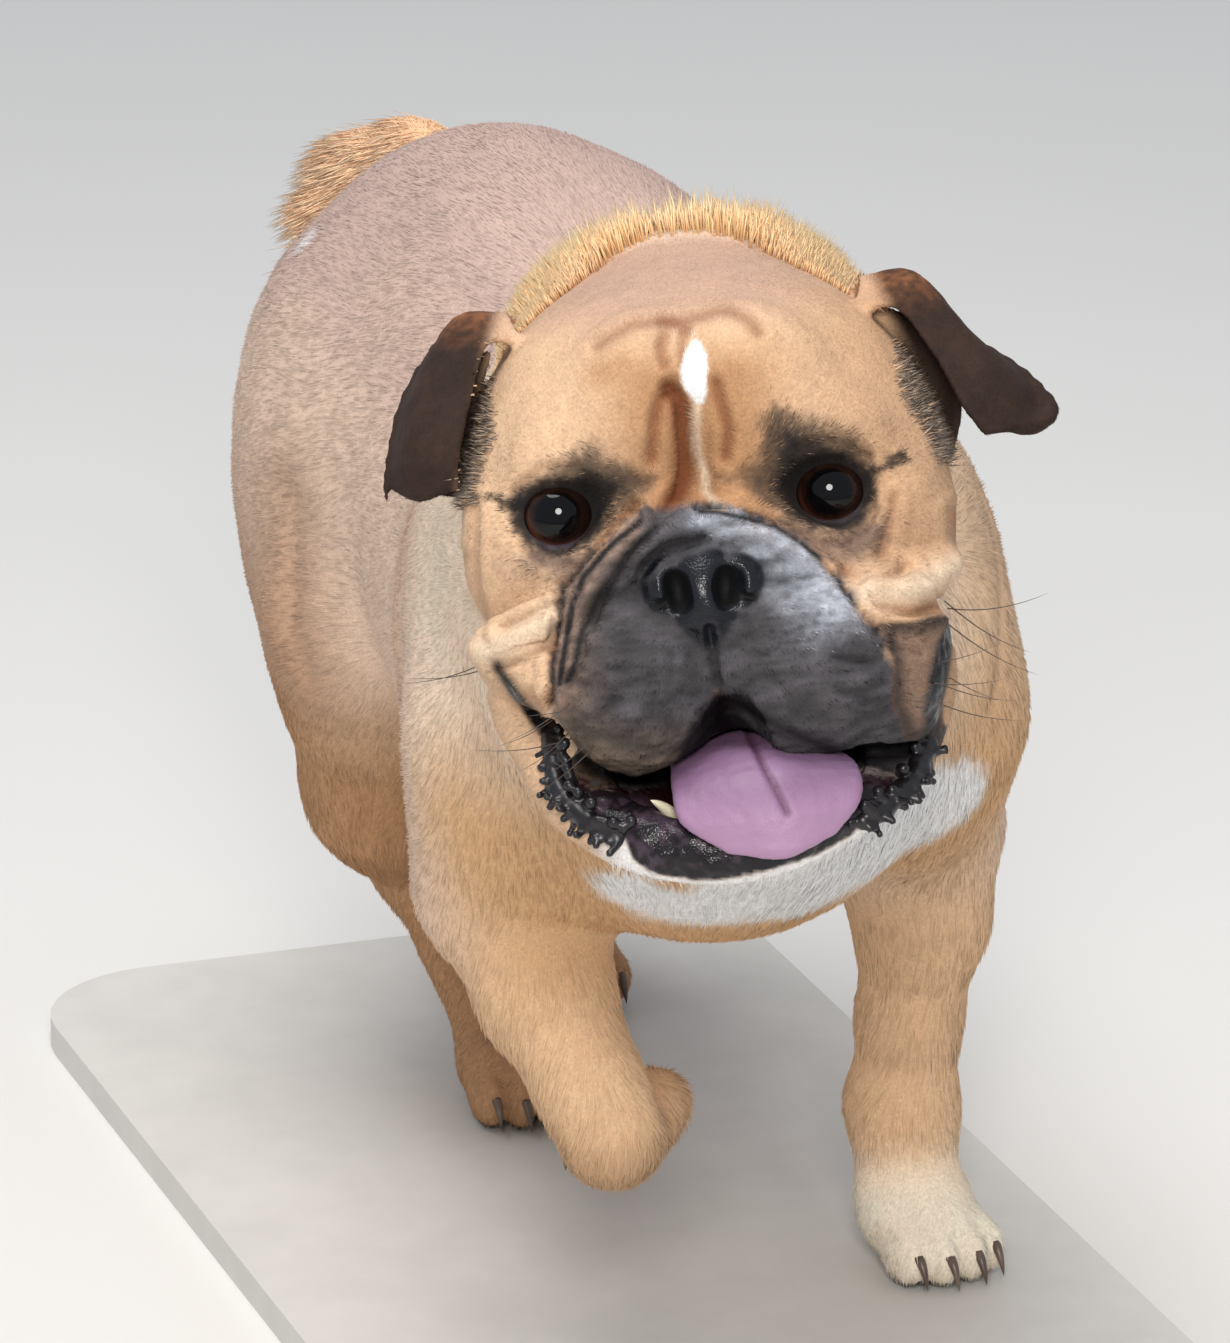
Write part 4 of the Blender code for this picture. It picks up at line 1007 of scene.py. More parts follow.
def markings(p, n, toss=None):
    """Colour and wetness at each place, for the skin and for the tufts that grow from it."""
    h = in_head_frame(p)
    colours = body_colours(p, n)
    wet = np.zeros(len(p))
    near = (np.abs(h[:, 0]) < 155) & (h[:, 1] < 104) & (h[:, 2] > -150) & (h[:, 2] < 130)
    face, damp = face_colours(h[near], None if toss is None else toss[near])
    share = np.maximum(head_share(h[near]), ear_share(h[near]))
    chin = (h[near][:, 1] < 30) & (h[near][:, 2] <= -125)
    share = np.where(chin, 1.0, share)
    colours[near] = colours[near] + (face - colours[near]) * share[:, None]
    wet[near] = damp * share
    soles = (p[:, 2] < 0.004) & (n[:, 2] < -0.5)
    colours = lay(colours, SOOT, soles * 0.8)
    return np.clip(colours, DARKEST, LIGHTEST), wet


# Skin

def coat_depth(axes):
    """The skin lies under the tips of the coat by less on the face than on the body."""
    face = head(4, -10, -30)
    squares = [(axis - face[i]) ** 2 for i, axis in enumerate(axes)]
    away = np.sqrt(squares[0][:, None, None] + squares[1][None, :, None] + squares[2][None, None, :])
    return 0.0003 + 0.0012 * smooth(away, 0.07, 0.14)


def press_folds(points, normals):
    """Creases with raised sides, pressed into the front of the head, and soft muscle under the coat."""
    h = in_head_frame(points)
    facing = on_front(h) * smooth(-(normals @ HEAD_AXES[:, 1]), -0.15, 0.3) * (1 - ear_share(h))
    push = np.zeros(len(points))
    some = facing > 0
    flat = h[some][:, [0, 2]]
    total = np.zeros(some.sum())
    for line, width, depth in FOLDS:
        away = off_path(flat, line)
        sides_up = 0.40 * np.exp(-((away - 2.2 * width) / width) ** 2)
        total += depth * (sides_up - 1.1 * np.exp(-(away / width) ** 2))
    for line, width, height in RIDGES:
        total += height * np.exp(-(off_path(flat, line) / width) ** 2)
    lobes = (1 - smooth(off_outline(flat, MUZZLE), -4, 1)) * smooth(-flat[:, 1], 24, 44)
    long = h[some] * (0.6, 0.8, 1.7)
    total += lobes * (0.75 * noise(long, 6.5, 16) + 0.45 * noise(long, 3.0, 17))
    wet = lip_share(h[some])
    total += wet * (0.9 * noise(h[some], 6.0, 14) + 0.5 * noise(h[some], 2.6, 15))
    push[some] = total * facing[some]
    body = smooth(h[:, 1], 60, 100)
    push += body * (0.6 * noise(points, 0.045, 11) + 0.4 * noise(points, 0.018, 12))
    for path, width, depth in BODY_FOLDS:
        push -= body * depth * np.exp(-(off_path(points, path) * 1000 / width) ** 2)
    push += 0.22 * (1 - body) * noise(points, 0.006, 13)
    return points + normals * (push * MM)[:, None]


def skin_forms():
    """The solids' own forms, with fuller nostrils, ear rims and skin between ear and cheek."""
    nostrils = [head_ball((0.3 + side * 8.8, -61, -31.0), (4.9, 13, 8.6), 1.5, (0, side * 8, 0), True)
                for side, _ in SIDES]
    nostrils += [head_ball((1.0 + side * 15.5, -62, -35.5), (6.5, 9, 2.0), 1.2, (0, side * 16, 0), True)
                 for side, _ in SIDES]
    rims = [head_roll([(-62, 68, 76, 2.2), (-85, 67, 73, 2.3), (-104, 56, 50, 2.3), (-112, 46, 26, 2.2),
                       (-114, 41, 12, 2.4)], 2.5),
            head_roll([(68, 70, 79, 2.2), (90, 68, 73, 2.4), (109, 60, 52, 2.4), (127, 50, 37, 2.8),
                       (136, 42, 23, 3.4), (127, 34, 17, 3.4), (116, 32, 20, 3.0)], 3.5)]
    inner_left = [[(76, 46, 66), (85, 50, 62), (92, 50, 56)],
                  [(84, 48, 46), (93, 50, 44), (101, 46, 42)],
                  [(88, 50, 28), (95, 51, 26), (101, 47, 25)],
                  [(89, 52, 8), (93, 53, 8), (96, 51, 9)]]
    inner_right = [[(-72, 44, 62), (-80, 48, 60), (-86, 48, 56)],
                   [(-80, 46, 44), (-88, 48, 42), (-95, 44, 42)],
                   [(-84, 48, 28), (-91, 48, 26), (-97, 42, 26)],
                   [(-86, 50, 12), (-90, 50, 12), (-94, 46, 13)]]
    return [*flesh_forms(), *nostrils, *rims[0], *rims[1], head_sheet(inner_left, 3.0, 5),
            head_sheet(inner_right, 3.0, 5)]


def points_of(obj):
    flat = np.empty(len(obj.data.vertices) * 3, np.float32)
    obj.data.vertices.foreach_get("co", flat)
    return flat.reshape(-1, 3).astype(float)


def thin_body(skin, points):
    """Fewer faces on the body, with all of them kept on the head."""
    h = in_head_frame(points)
    kept = (1 - smooth(h[:, 1], 78, 96)) * (np.abs(h[:, 0] - MIDDLE) < 150) * (h[:, 2] > -150)
    group = skin.vertex_groups.new(name="body")
    group.add(np.nonzero(kept < 0.5)[0].tolist(), 1.0, "REPLACE")
    thinner = skin.modifiers.new("thinner", "DECIMATE")
    thinner.ratio = SKIN_SHARE_KEPT
    thinner.vertex_group = "body"
    thinner.vertex_group_factor = 20.0
    result = bpy.data.meshes.new_from_object(skin.evaluated_get(bpy.context.evaluated_depsgraph_get()))
    skin.modifiers.clear()
    skin.vertex_groups.clear()
    skin.data = result
    skin.data.name = "skin"


def make_skin():
    points, quads = surface(skin_forms(), SKIN_STEP, FACE_SPAN, FINE_SHARE, coat_depth)
    points[:, 2] = np.maximum(points[:, 2], SOLE)
    skin = make_object("skin", points, quads)
    points = press_folds(points, normals_of(skin))
    points[:, 2] = np.maximum(points[:, 2], SOLE)
    set_points(skin, points)
    thin_body(skin, points)
    points = points_of(skin)
    colours, wet = markings(points, normals_of(skin))
    set_colour(skin, colours)
    set_value(skin, wet, "Wet")
    return skin


# Coat

def lie_of_coat(p, n):
    """The way the hair runs, along the surface, at each place."""
    _, y, z = p.T
    h = in_head_frame(p)
    way = np.tile((0.0, 1.0, -0.35), (len(p), 1))
    down = (1 - smooth(z, 0.16, 0.24))[:, None]
    way = way + (np.array((0.0, 0.25, -1.0)) - way) * down
    front = ((1 - smooth(y, -0.08, 0.0)) * (1 - smooth(z, 0.28, 0.36)))[:, None]
    way = way + (np.array((0.0, 0.15, -1.0)) - way) * front
    sign = np.sign(h[:, 0] - MIDDLE)
    crown = np.stack([0.30 * sign * smooth(np.abs(h[:, 0] - MIDDLE), 6, 50), np.full(len(p), 1.0),
                      0.75 * smooth(h[:, 2], 0, 40)], 1)
    cheek = np.stack([0.75 * sign, np.full(len(p), 1.0), np.full(len(p), -0.45)], 1)
    face = crown + (cheek - crown) * (1 - smooth(h[:, 2], -20, 14))[:, None]
    from_nose = (h - np.array((1.5, -80, -34))) * np.array((1.0, 0.7, 1.0))
    from_nose[:, 2] -= 16
    from_nose /= np.linalg.norm(from_nose, axis=1)[:, None] + 1e-9
    muzzle = (1 - smooth(off_outline(h[:, [0, 2]], MUZZLE), -2, 8)) * on_front(h)
    face = face + (from_nose - face) * muzzle[:, None]
    flap = ear_share(h)
    drop = np.where(sign[:, None] < 0, np.array((-0.35, 0.2, -1.0)), np.array((0.6, 0.2, -0.75)))
    face = face + (drop - face) * flap[:, None]
    share = np.maximum(head_share(h), flap)
    way = way + (face @ HEAD_AXES.T - way) * share[:, None]
    turn_by = 0.30 * noise(p, 0.020, 21)
    side = np.cross(n, way)
    way = way + side * turn_by[:, None]
    way -= n * np.einsum("ij,ij->i", way, n)[:, None]
    return way / (np.linalg.norm(way, axis=1)[:, None] + 1e-9)


def region_of(p):
    """Number of the body's part at each place, for the unwrap and the coat's pieces."""
    x, y, z = p.T
    h = in_head_frame(p)
    part = np.where(x < 0, 0, 1)
    part = np.where(h[:, 1] < 150, 2, part)
    part = np.where((h[:, 1] < 84) & (h[:, 2] > -145), np.where(h[:, 0] < 4, 3, 4), part)
    low = (z < 0.19) & (h[:, 1] > 84)
    part = np.where(low & (y < 0.12), np.where(x < 0.0, 5, 6), part)
    part = np.where(low & (y >= 0.12), np.where(x < 0.025, 7, 8), part)
    return part


def unwrap(p, n, part):
    """A flat layout of the skin: one square for each part of the body and each side it faces."""
    axis = np.abs(n).argmax(1)
    facing = 2 * axis + (n[np.arange(len(n)), axis] > 0)
    square = part * 6 + facing
    uv = np.zeros((len(p), 2))
    for k in np.unique(part):
        here = part == k
        low, high = p[here].min(0), p[here].max(0)
        place = (p[here] - low) / (high - low)
        first = np.where(axis[here] == 0, 1, 0)
        second = np.where(axis[here] == 2, 1, 2)
        rows = np.arange(here.sum())
        uv[here] = np.stack([place[rows, first], place[rows, second]], 1)
    column, row = square % 8, square // 8
    return (np.stack([column, row], 1) + 0.06 + 0.88 * uv) / 8


def grow(skin, count, density, rng):
    """Roots spread over the skin: their places and the skin's normals there."""
    mesh = skin.data
    points = points_of(skin)
    normals = normals_of(skin)
    mesh.calc_loop_triangles()
    triangles = np.empty(3 * len(mesh.loop_triangles), np.int32)
    mesh.loop_triangles.foreach_get("vertices", triangles)
    triangles = triangles.reshape(-1, 3)
    wet = np.empty(len(points), np.float32)
    mesh.attributes["Wet"].data.foreach_get("value", wet)
    a, b, c = (points[triangles[:, i]] for i in range(3))
    area = 0.5 * np.linalg.norm(np.cross(b - a, c - a), axis=1)
    middle = (a + b + c) / 3
    dry = wet[triangles].max(1) < 0.3
    weight = area * density(middle, normals[triangles[:, 0]]) * dry * (middle[:, 2] > 0.003)
    total = np.cumsum(weight)
    chosen = np.searchsorted(total, rng.random(count) * total[-1])
    u, v = rng.random(count), rng.random(count)
    over = u + v > 1
    u, v = np.where(over, 1 - u, u), np.where(over, 1 - v, v)
    share = np.stack([1 - u - v, u, v], 1)
    corners = triangles[chosen]
    place = np.einsum("ij,ijk->ik", share, points[corners])
    normal = np.einsum("ij,ijk->ik", share, normals[corners])
    normal /= np.linalg.norm(normal, axis=1)[:, None]
    return place, normal


def add_patches(obj, centres, per_tuft, shape):
    """The bake layout: each tuft is a small patch at its root's place on the skin's unwrap."""
    layer = obj.data.uv_layers.new(name="OFBake")
    loops = np.empty(len(obj.data.loops), np.int32)
    obj.data.loops.foreach_get("vertex_index", loops)
    uv = centres[loops // per_tuft] + shape[loops % per_tuft]
    layer.data.foreach_set("uv", np.clip(uv, 0, 1).astype(np.float32).ravel())


def make_blades(name, place, normal, way, length, width, lift, colours, rng):
    """Short hair: each tuft is a thin closed wedge from its root to its tip."""
    count = len(place)
    side = np.cross(normal, way)
    along = way * np.cos(lift)[:, None] + normal * np.sin(lift)[:, None]
    root = place - normal * 0.0003
    half = side * (0.5 * width)[:, None]
    points = np.empty((count, 4, 3))
    points[:, 0] = root - half
    points[:, 1] = root + half
    points[:, 2] = root + normal * (0.45 * width)[:, None] - way * (0.3 * width)[:, None]
    points[:, 3] = root + along * length[:, None]
    faces = np.array(((0, 2, 1), (0, 1, 3), (1, 2, 3), (2, 0, 3)))
    faces = (faces[None] + 4 * np.arange(count)[:, None, None]).reshape(-1, 3)
    obj = make_object(name, points.reshape(-1, 3), faces)
    lean = normal + 0.16 * rng.standard_normal((count, 3)) + 0.22 * way
    lean /= np.linalg.norm(lean, axis=1)[:, None]
    obj.data.normals_split_custom_set_from_vertices(np.repeat(lean, 4, 0))
    # darker at the roots and lighter at the tips: painted shade and light on each tuft
    shade = np.array((0.93, 0.93, 0.96, 1.05))
    each = colours * (1 + 0.07 * rng.standard_normal(count))[:, None]
    full = each[:, None, :] * shade[None, :, None]
    set_colour(obj, np.clip(full, DARKEST, LIGHTEST).reshape(-1, 3))
    shape = PATCH * np.array(((-0.5, -0.5), (0.5, -0.5), (0.0, 0.0), (0.0, 0.5)))
    add_patches(obj, unwrap(place, normal, region_of(place)), 4, shape)
    return obj


def make_locks(name, place, normal, along, bend, length, width, colours, tips, rng):
    """Long hair: each tuft is a three-sided strand in two lengths that curves towards its tip."""
    count = len(place)
    side = np.cross(along, bend)
    side /= np.linalg.norm(side, axis=1)[:, None] + 1e-9
    flat = np.cross(side, along)
    root = place - along * 0.0015
    middle = root + along * (0.5 * length)[:, None] + bend * (0.10 * length)[:, None]
    tip = root + along * (0.92 * length)[:, None] + bend * (0.42 * length)[:, None]
    points = np.empty((count, 7, 3))
    ring = ((-0.5, -0.2), (0.5, -0.2), (0.0, 0.35))
    for k, (a, b) in enumerate(ring):
        offset = side * (a * width)[:, None] + flat * (b * width)[:, None]
        points[:, k] = root + offset
        points[:, 3 + k] = middle + 0.85 * offset
    points[:, 6] = tip
    faces = [(0, 1, 2)]
    for k in range(3):
        m = (k + 1) % 3
        faces += [(k, 3 + m, m), (k, 3 + k, 3 + m), (3 + k, 6, 3 + m)]
    faces = (np.array(faces)[None] + 7 * np.arange(count)[:, None, None]).reshape(-1, 3)
    obj = make_object(name, points.reshape(-1, 3), faces)
    each = 1 + 0.08 * rng.standard_normal(count)
    share = np.array((0, 0, 0, 0.45, 0.45, 0.45, 1.0))[None, :, None]
    blend = (colours[:, None] * (1 - share) + tips[:, None] * share) * each[:, None, None]
    set_colour(obj, np.clip(blend, DARKEST, LIGHTEST).reshape(-1, 3))
    corners = ((-0.5, -0.5), (0.5, -0.5), (0, -0.4), (-0.4, 0), (0.4, 0), (0, 0.1), (0, 0.5))
    shape = PATCH * np.array(corners)
    add_patches(obj, unwrap(place, normal, region_of(place)), 7, shape)
    return obj


def short_density(p, n):
    h = in_head_frame(p)
    return 1.0 + 1.6 * head_share(h) + 0.8 * ear_share(h) + 0.5 * (p[:, 2] < 0.12)


def make_short_coat(skin, rng):
    place, normal = grow(skin, SHORT_TUFTS, short_density, rng)
    h = in_head_frame(place)
    colours, _ = markings(place, normal, rng.random(len(place)))
    way = lie_of_coat(place, normal)
    on_head = head_share(h)
    muzzle = (1 - smooth(off_outline(h[:, [0, 2]], MUZZLE), -2, 4)) * on_front(h)
    flap = ear_share(h)
    length = 0.0070 - 0.0036 * on_head - 0.0009 * muzzle - 0.0025 * (1 - smooth(place[:, 2], 0.02, 0.10))
    length = np.where(flap > 0.5, 0.0017, length) * (0.75 + 0.5 * rng.random(len(place)))
    width = 0.00070 - 0.00030 * on_head - 0.0001 * (1 - smooth(place[:, 2], 0.02, 0.10))
    lift = np.radians(4 + 6 * rng.random(len(place)) + 4 * np.clip(noise(place, 0.012, 31), 0, 1))
    part = region_of(place)
    pieces = []
    for name, numbers in COAT_PIECES.items():
        here = np.nonzero(np.isin(part, numbers))[0]
        here = here[np.argsort(place[here, 1], kind="stable")]
        shares = np.array_split(here, -(-len(here) // MOST_IN_PIECE))
        for share, letter in zip(shares, "abcdef"):
            full_name = name if len(shares) == 1 else name + "_" + letter
            pieces.append(make_blades(full_name, place[share], normal[share], way[share], length[share],
                                      width[share], lift[share], colours[share], rng))
    return pieces


# Standing hair of the nape, and fuller hair of the tail and at the ears' openings


def nape_density(p, n):
    h = in_head_frame(p)
    away = off_path(h, np.array(RUFF_ROLL)[:, :3])
    up = smooth(n @ HEAD_AXES[:, 2], -0.1, 0.4)
    inner = (1 - smooth(np.abs(h[:, 0] - MIDDLE), 60, 74)) * smooth(h[:, 1], 66, 74)
    loose = 1 - smooth(away + 5 * noise(h, 7.0, 33), 12, 30) * smooth(h[:, 1], 80, 96)
    return loose * (1 - smooth(away, 17, 36)) * up * inner + 1e-9


def make_nape(skin, rng, half):
    """The hair stands up along the front of the roll and lies back behind it."""
    place, normal = grow(skin, NAPE_STRANDS, nape_density, rng)
    h = in_head_frame(place)
    side = (h[:, 0] - MIDDLE) / 60
    back = smooth(h[:, 1], 84, 128)
    front = 1 - smooth(h[:, 1], 70, 88)
    count = len(place)
    spread = 0.10 * rng.standard_normal((count, 3))
    up = np.stack([0.45 * side, -0.15 + 1.3 * back, np.ones(count)], 1) + spread
    up = up @ HEAD_AXES.T + 0.2 * normal
    up /= np.linalg.norm(up, axis=1)[:, None]
    backward = np.tile(HEAD_AXES @ np.array((0.0, 1.0, -0.2)), (count, 1))
    bend = backward + 0.25 * rng.standard_normal((count, 3))
    bend /= np.linalg.norm(bend, axis=1)[:, None]
    length = (0.0235 - 0.0115 * side ** 2) * (1 - 0.55 * back) * (1 - 0.45 * front)
    length = length * (0.62 + 0.50 * rng.random(count))
    width = 0.00055 + 0.0003 * rng.random(count)
    colours = lay(np.tile(tint(255, 206, 148), (count, 1)), RUFF_ROOT, 0.55 * front)
    colours = lay(colours, NECK, 0.8 * back)
    tips = lay(np.tile(tint(255, 224, 180), (count, 1)), RUFF, 0.6 * rng.random(count))
    tips = lay(tips, NECK, 0.7 * back)
    name = "hair_of_nape_" + half
    return make_locks(name, place, normal, up, bend, length, width, colours, tips, rng)


def tail_density(p, n):
    return 1 - smooth(off_path(p, TAIL_LINE) + 0.004 * noise(p, 0.008, 34), 0.018, 0.040) + 1e-9


def make_tail_hair(skin, rng):
    place, normal = grow(skin, TAIL_STRANDS, tail_density, rng)
    count = len(place)
    way = np.tile((-0.75, 0.35, -0.55), (count, 1)) + 0.12 * rng.standard_normal((count, 3))
    along = way + 0.55 * normal
    along /= np.linalg.norm(along, axis=1)[:, None]
    way /= np.linalg.norm(way, axis=1)[:, None]
    length = 0.0115 * (0.6 + 0.7 * rng.random(count))
    width = 0.0006 + 0.0003 * rng.random(count)
    colours = np.tile(tint(252, 206, 162), (count, 1))
    tips = lay(np.tile(tint(250, 222, 194), (count, 1)), TAIL, rng.random(count))
    return make_locks("hair_of_tail", place, normal, along, way, length, width, colours, tips, rng)


def fringe_density(p, n):
    h = in_head_frame(p)
    edge = smooth(h[:, 1], 4, 12) * (1 - smooth(h[:, 1], 30, 40))
    edge = edge * smooth(np.abs(h[:, 0] - MIDDLE), 72, 78)
    return edge * smooth(h[:, 2], 4, 12) * (1 - smooth(h[:, 2], 62, 70)) * (1 - ear_share(h)) + 1e-9


def make_ear_fringe(skin, rng):
    """Pale hair along the front edge of the ears' openings."""
    place, normal = grow(skin, FRINGE_STRANDS, fringe_density, rng)
    count = len(place)
    way = np.stack([np.sign(in_head_frame(place)[:, 0]), np.full(count, 0.9), np.full(count, 0.1)], 1)
    way = way @ HEAD_AXES.T + 0.25 * rng.standard_normal((count, 3))
    along = way + 0.3 * normal
    along /= np.linalg.norm(along, axis=1)[:, None]
    way /= np.linalg.norm(way, axis=1)[:, None]
    length = 0.0056 * (0.5 + 0.8 * rng.random(count))
    width = 0.00045 + 0.0002 * rng.random(count)
    roots = lay(np.tile(tint(120, 104, 90), (count, 1)), FACE, rng.random(count))
    tips = lay(np.tile(tint(170, 158, 146), (count, 1)), tint(60, 52, 48), rng.random(count))
    return make_locks("hair_at_ears", place, normal, along, way, length, width, roots, tips, rng)


# Eyes, tongue, teeth, lips, claws and whiskers

def make_eye(side, name):
    rows, columns = 48, 96
    polar = np.linspace(0.0, pi, rows + 1)[1:-1]
    around = np.linspace(0, 2 * pi, columns, endpoint=False)
    bulge = CORNEA * np.exp(-(polar / 0.75) ** 4)
    radius = (EYE_RADIUS + bulge)[:, None]
    x = radius * np.sin(polar)[:, None] * np.cos(around)[None]
    z = radius * np.sin(polar)[:, None] * np.sin(around)[None]
    y = -radius * np.cos(polar)[:, None] + 0 * around[None]
    ring = np.stack([x, y, z], -1).reshape(-1, 3)
    bm = bmesh.new()
    front = bm.verts.new((0, -(EYE_RADIUS + CORNEA), 0))
    verts = [bm.verts.new(v) for v in ring]
    back = bm.verts.new((0, EYE_RADIUS, 0))
    for i in range(len(polar) - 1):
        for j in range(columns):
            a, b = i * columns + j, i * columns + (j + 1) % columns
            bm.faces.new((verts[a], verts[a + columns], verts[b + columns], verts[b]))
    for j in range(columns):
        m = (j + 1) % columns
        last = (len(polar) - 1) * columns
        bm.faces.new((front, verts[j], verts[m]))
        bm.faces.new((back, verts[last + m], verts[last + j]))
    bmesh.ops.recalc_face_normals(bm, faces=bm.faces)
    for face in bm.faces:
        face.smooth = True
    mesh = bpy.data.meshes.new(name)
    bm.to_mesh(mesh)
    bm.free()
    obj = bpy.data.objects.new(name, mesh)
    bpy.context.scene.collection.objects.link(obj)
    local = points_of(obj)
    angle = np.arctan2(np.hypot(local[:, 0], local[:, 2]), -local[:, 1])
    spin = np.arctan2(local[:, 2], local[:, 0])
    fleck = noise(np.stack([spin * 6, angle * 3, 0 * angle], 1), 1.0, 41)
    colours = np.tile(tint(150, 128, 122), (len(local), 1))
    colours = lay(colours, tint(196, 108, 108), (local[:, 0] * side < -8) * (local[:, 2] < 0) * 0.8)
    colours = lay(colours, tint(20, 14, 13), 1 - smooth(angle, 0.94, 1.02))
    iris = lay(np.tile(tint(20, 12, 10), (len(local), 1)), tint(44, 24, 17), 0.5 + 0.35 * fleck)
    # brighter lower part of the iris ring, opposite the highlight: painted light through the cornea
    glow = 0.6 * smooth(-np.sin(spin + 0.5), 0.0, 0.9) * smooth(angle, 0.64, 0.76)
    iris = lay(iris, tint(96, 50, 36), glow)
    colours = colours + (iris - colours) * (1 - smooth(angle, 0.78, 0.86))[:, None]
    colours = lay(colours, tint(6, 6, 8), 1 - smooth(angle, 0.50, 0.60))
    set_colour(obj, colours)
    place = np.array([head(side * EYE_APART + v[0], EYE_BACK + v[1], v[2]) for v in local])
    set_points(obj, place)
    return obj


def make_tongue():
    points, quads = surface(tongue_forms(), 0.0012)
    tongue = make_object("tongue_flesh", points, quads)
    normals = normals_of(tongue)
    wave = 0.5 * noise(points, 0.012, 51) + 0.18 * noise(points, 0.0022, 52)
    h = in_head_frame(points)
    line = off_path(h[:, [0, 2]], ((10, -78), (16, -94), (20, -103), (24, -114)))
    groove = np.exp(-(line / 1.3) ** 2) * smooth(-(normals @ HEAD_AXES[:, 1]), -0.2, 0.2)
    points = points + normals * ((wave - 1.3 * groove) * MM)[:, None]
    set_points(tongue, points)
    colours = np.tile(tint(150, 118, 150), (len(points), 1))
    colours = lay(colours, tint(122, 88, 118), 0.5 + 0.5 * noise(points, 0.010, 53))
    colours = lay(colours, tint(172, 134, 164), 0.8 * smooth(-h[:, 2], 98, 124))
    # painted shade in the tongue's groove
    colours = lay(colours, tint(84, 50, 70), 0.8 * groove)
    # darker where the tongue goes back into the mouth under the muzzle: painted shade
    colours = lay(colours, tint(70, 38, 48), 1 - smooth(-h[:, 2], 78, 92))
    set_colour(tongue, colours)
    return tongue


def bent_cone(root, tip, radius, bend, rings=7, sides=12, blunt=0.25):
    """Points and faces of a curved, tapered and rounded cone, as for a tooth or a claw."""
    root, tip, bend = (np.array(v, float) for v in (root, tip, bend))
    run = tip - root
    across = np.cross(run, bend)
    across /= np.linalg.norm(across)
    other = np.cross(across, run / np.linalg.norm(run))
    points = []
    for i in range(rings):
        t = i / (rings - 1)
        centre = root + run * t + bend * (4 * t * (1 - t))
        wide = radius * (1 - t ** 1.6) ** 0.7 if i < rings - 1 else radius * 0.05 * blunt
        for j in range(sides):
            a = 2 * pi * j / sides
            points.append(centre + wide * (cos(a) * across + sin(a) * other))
    faces = []
    for i in range(rings - 1):
        for j in range(sides):
            k = (j + 1) % sides
            faces.append((i * sides + j, i * sides + k, (i + 1) * sides + k, (i + 1) * sides + j))
    half = sides // 2
    for base, order in ((0, -1), ((rings - 1) * sides, 1)):
        for j in range(half - 1):
            loop = (base + j, base + j + 1, base + sides - j - 2, base + sides - j - 1)
            faces.append(loop[::order])
    return np.array(points), np.array(faces)


def make_cones(name, cones):
    points, faces, count = [], [], 0
    for cone_points, cone_faces in cones:
        points.append(cone_points)
        faces.append(cone_faces + count)
        count += len(cone_points)
    obj = make_object(name, np.concatenate(points), np.concatenate(faces))
    bm = bmesh.new()
    bm.from_mesh(obj.data)
    bmesh.ops.recalc_face_normals(bm, faces=bm.faces)
    bm.to_mesh(obj.data)
    bm.free()
    return obj


def make_teeth():
    """The lower canine that shows, and two incisors beside it, browner at their roots."""
    bend = HEAD_AXES @ np.array((0.0008, 0.0012, 0.0016))
    canine = bent_cone(head(-14, -40, -119), head(-25, -49, -105.5), 3.4 * MM, bend, 10, 16)
    bend = HEAD_AXES @ np.array((0, 0.0005, 0.0002))
    small = [bent_cone(head(x, -46, -124), head(x - 0.5, -49, -115.5), 1.7 * MM, bend, 7, 12)
             for x in (-9, -5)]
    teeth = make_cones("teeth", [canine, *small])
    points = points_of(teeth)
    ivory = np.tile(tint(236, 226, 196), (len(points), 1))
    near_root = 1 - smooth(in_head_frame(points)[:, 2], -119, -110)
    set_colour(teeth, lay(ivory, tint(196, 166, 112), near_root))
    return teeth


def make_lip_fringe(rng):
    """The dark, crinkled edge of the lower lip on both sides of the mouth."""
    sides = (
        ((-60, -16, -81), (-59, -24, -87), (-59, -31, -94), (-57, -37, -101),
         (-53, -42, -106), (-48, -46, -111), (-42, -49, -114), (-37, -51, -118)),
        ((78, -12, -95), (75, -17, -100), (72, -23, -105), (69, -30, -109),
         (64, -35, -113), (58, -40, -117), (51, -44, -120)),
    )
    pieces = []
    for path in sides:
        line = smooth_line(path, 3)
        ridge = np.column_stack([line, np.full(len(line), 3.4)])
        forms = head_roll(ridge[::2], 2.0, steps=1)
        for k, place in enumerate(line):
            outward = np.array((np.sign(place[0]) * 0.8, -0.45, -0.55 - 0.35 * rng.random()))
            outward = outward / np.linalg.norm(outward) + 0.32 * rng.standard_normal(3)
            reach = (6.6 if k % 2 else 4.4) + 1.4 * rng.random()
            end = place + outward / np.linalg.norm(outward) * reach
            forms.append(cone(head(*place), head(*end), 2.5 * MM, 0.9 * MM, 1.0 * MM))
            knob = end + rng.standard_normal(3) * 0.7
            forms.append(ellipsoid(head(*knob), np.array((1.4, 1.4, 1.4)) * MM, 0.8 * MM))
            bump = place + (rng.random(3) - 0.5) * (4, 6, 7) + (-np.sign(place[0]) * 3, -2, 3)
            forms.append(ellipsoid(head(*bump), np.array((2.2, 2.2, 2.4)) * MM, 1.2 * MM))
        pieces.append(surface(forms, 0.0009))
    points = np.concatenate([some for some, _ in pieces])
    quads = np.concatenate([pieces[0][1], pieces[1][1] + len(pieces[0][0])])
    return make_object("lip_fringe", points, quads)


def claws_on(axes, toes, root, tip, radius, rise):
    """One claw for each toe, from root to tip beside the toe's middle, bent up by the rise."""
    bend = axes @ (0.0, -0.0004, rise)
    return [bent_cone(toe + axes @ root, toe + axes @ tip, radius, bend, 8, 12) for toe in toes]


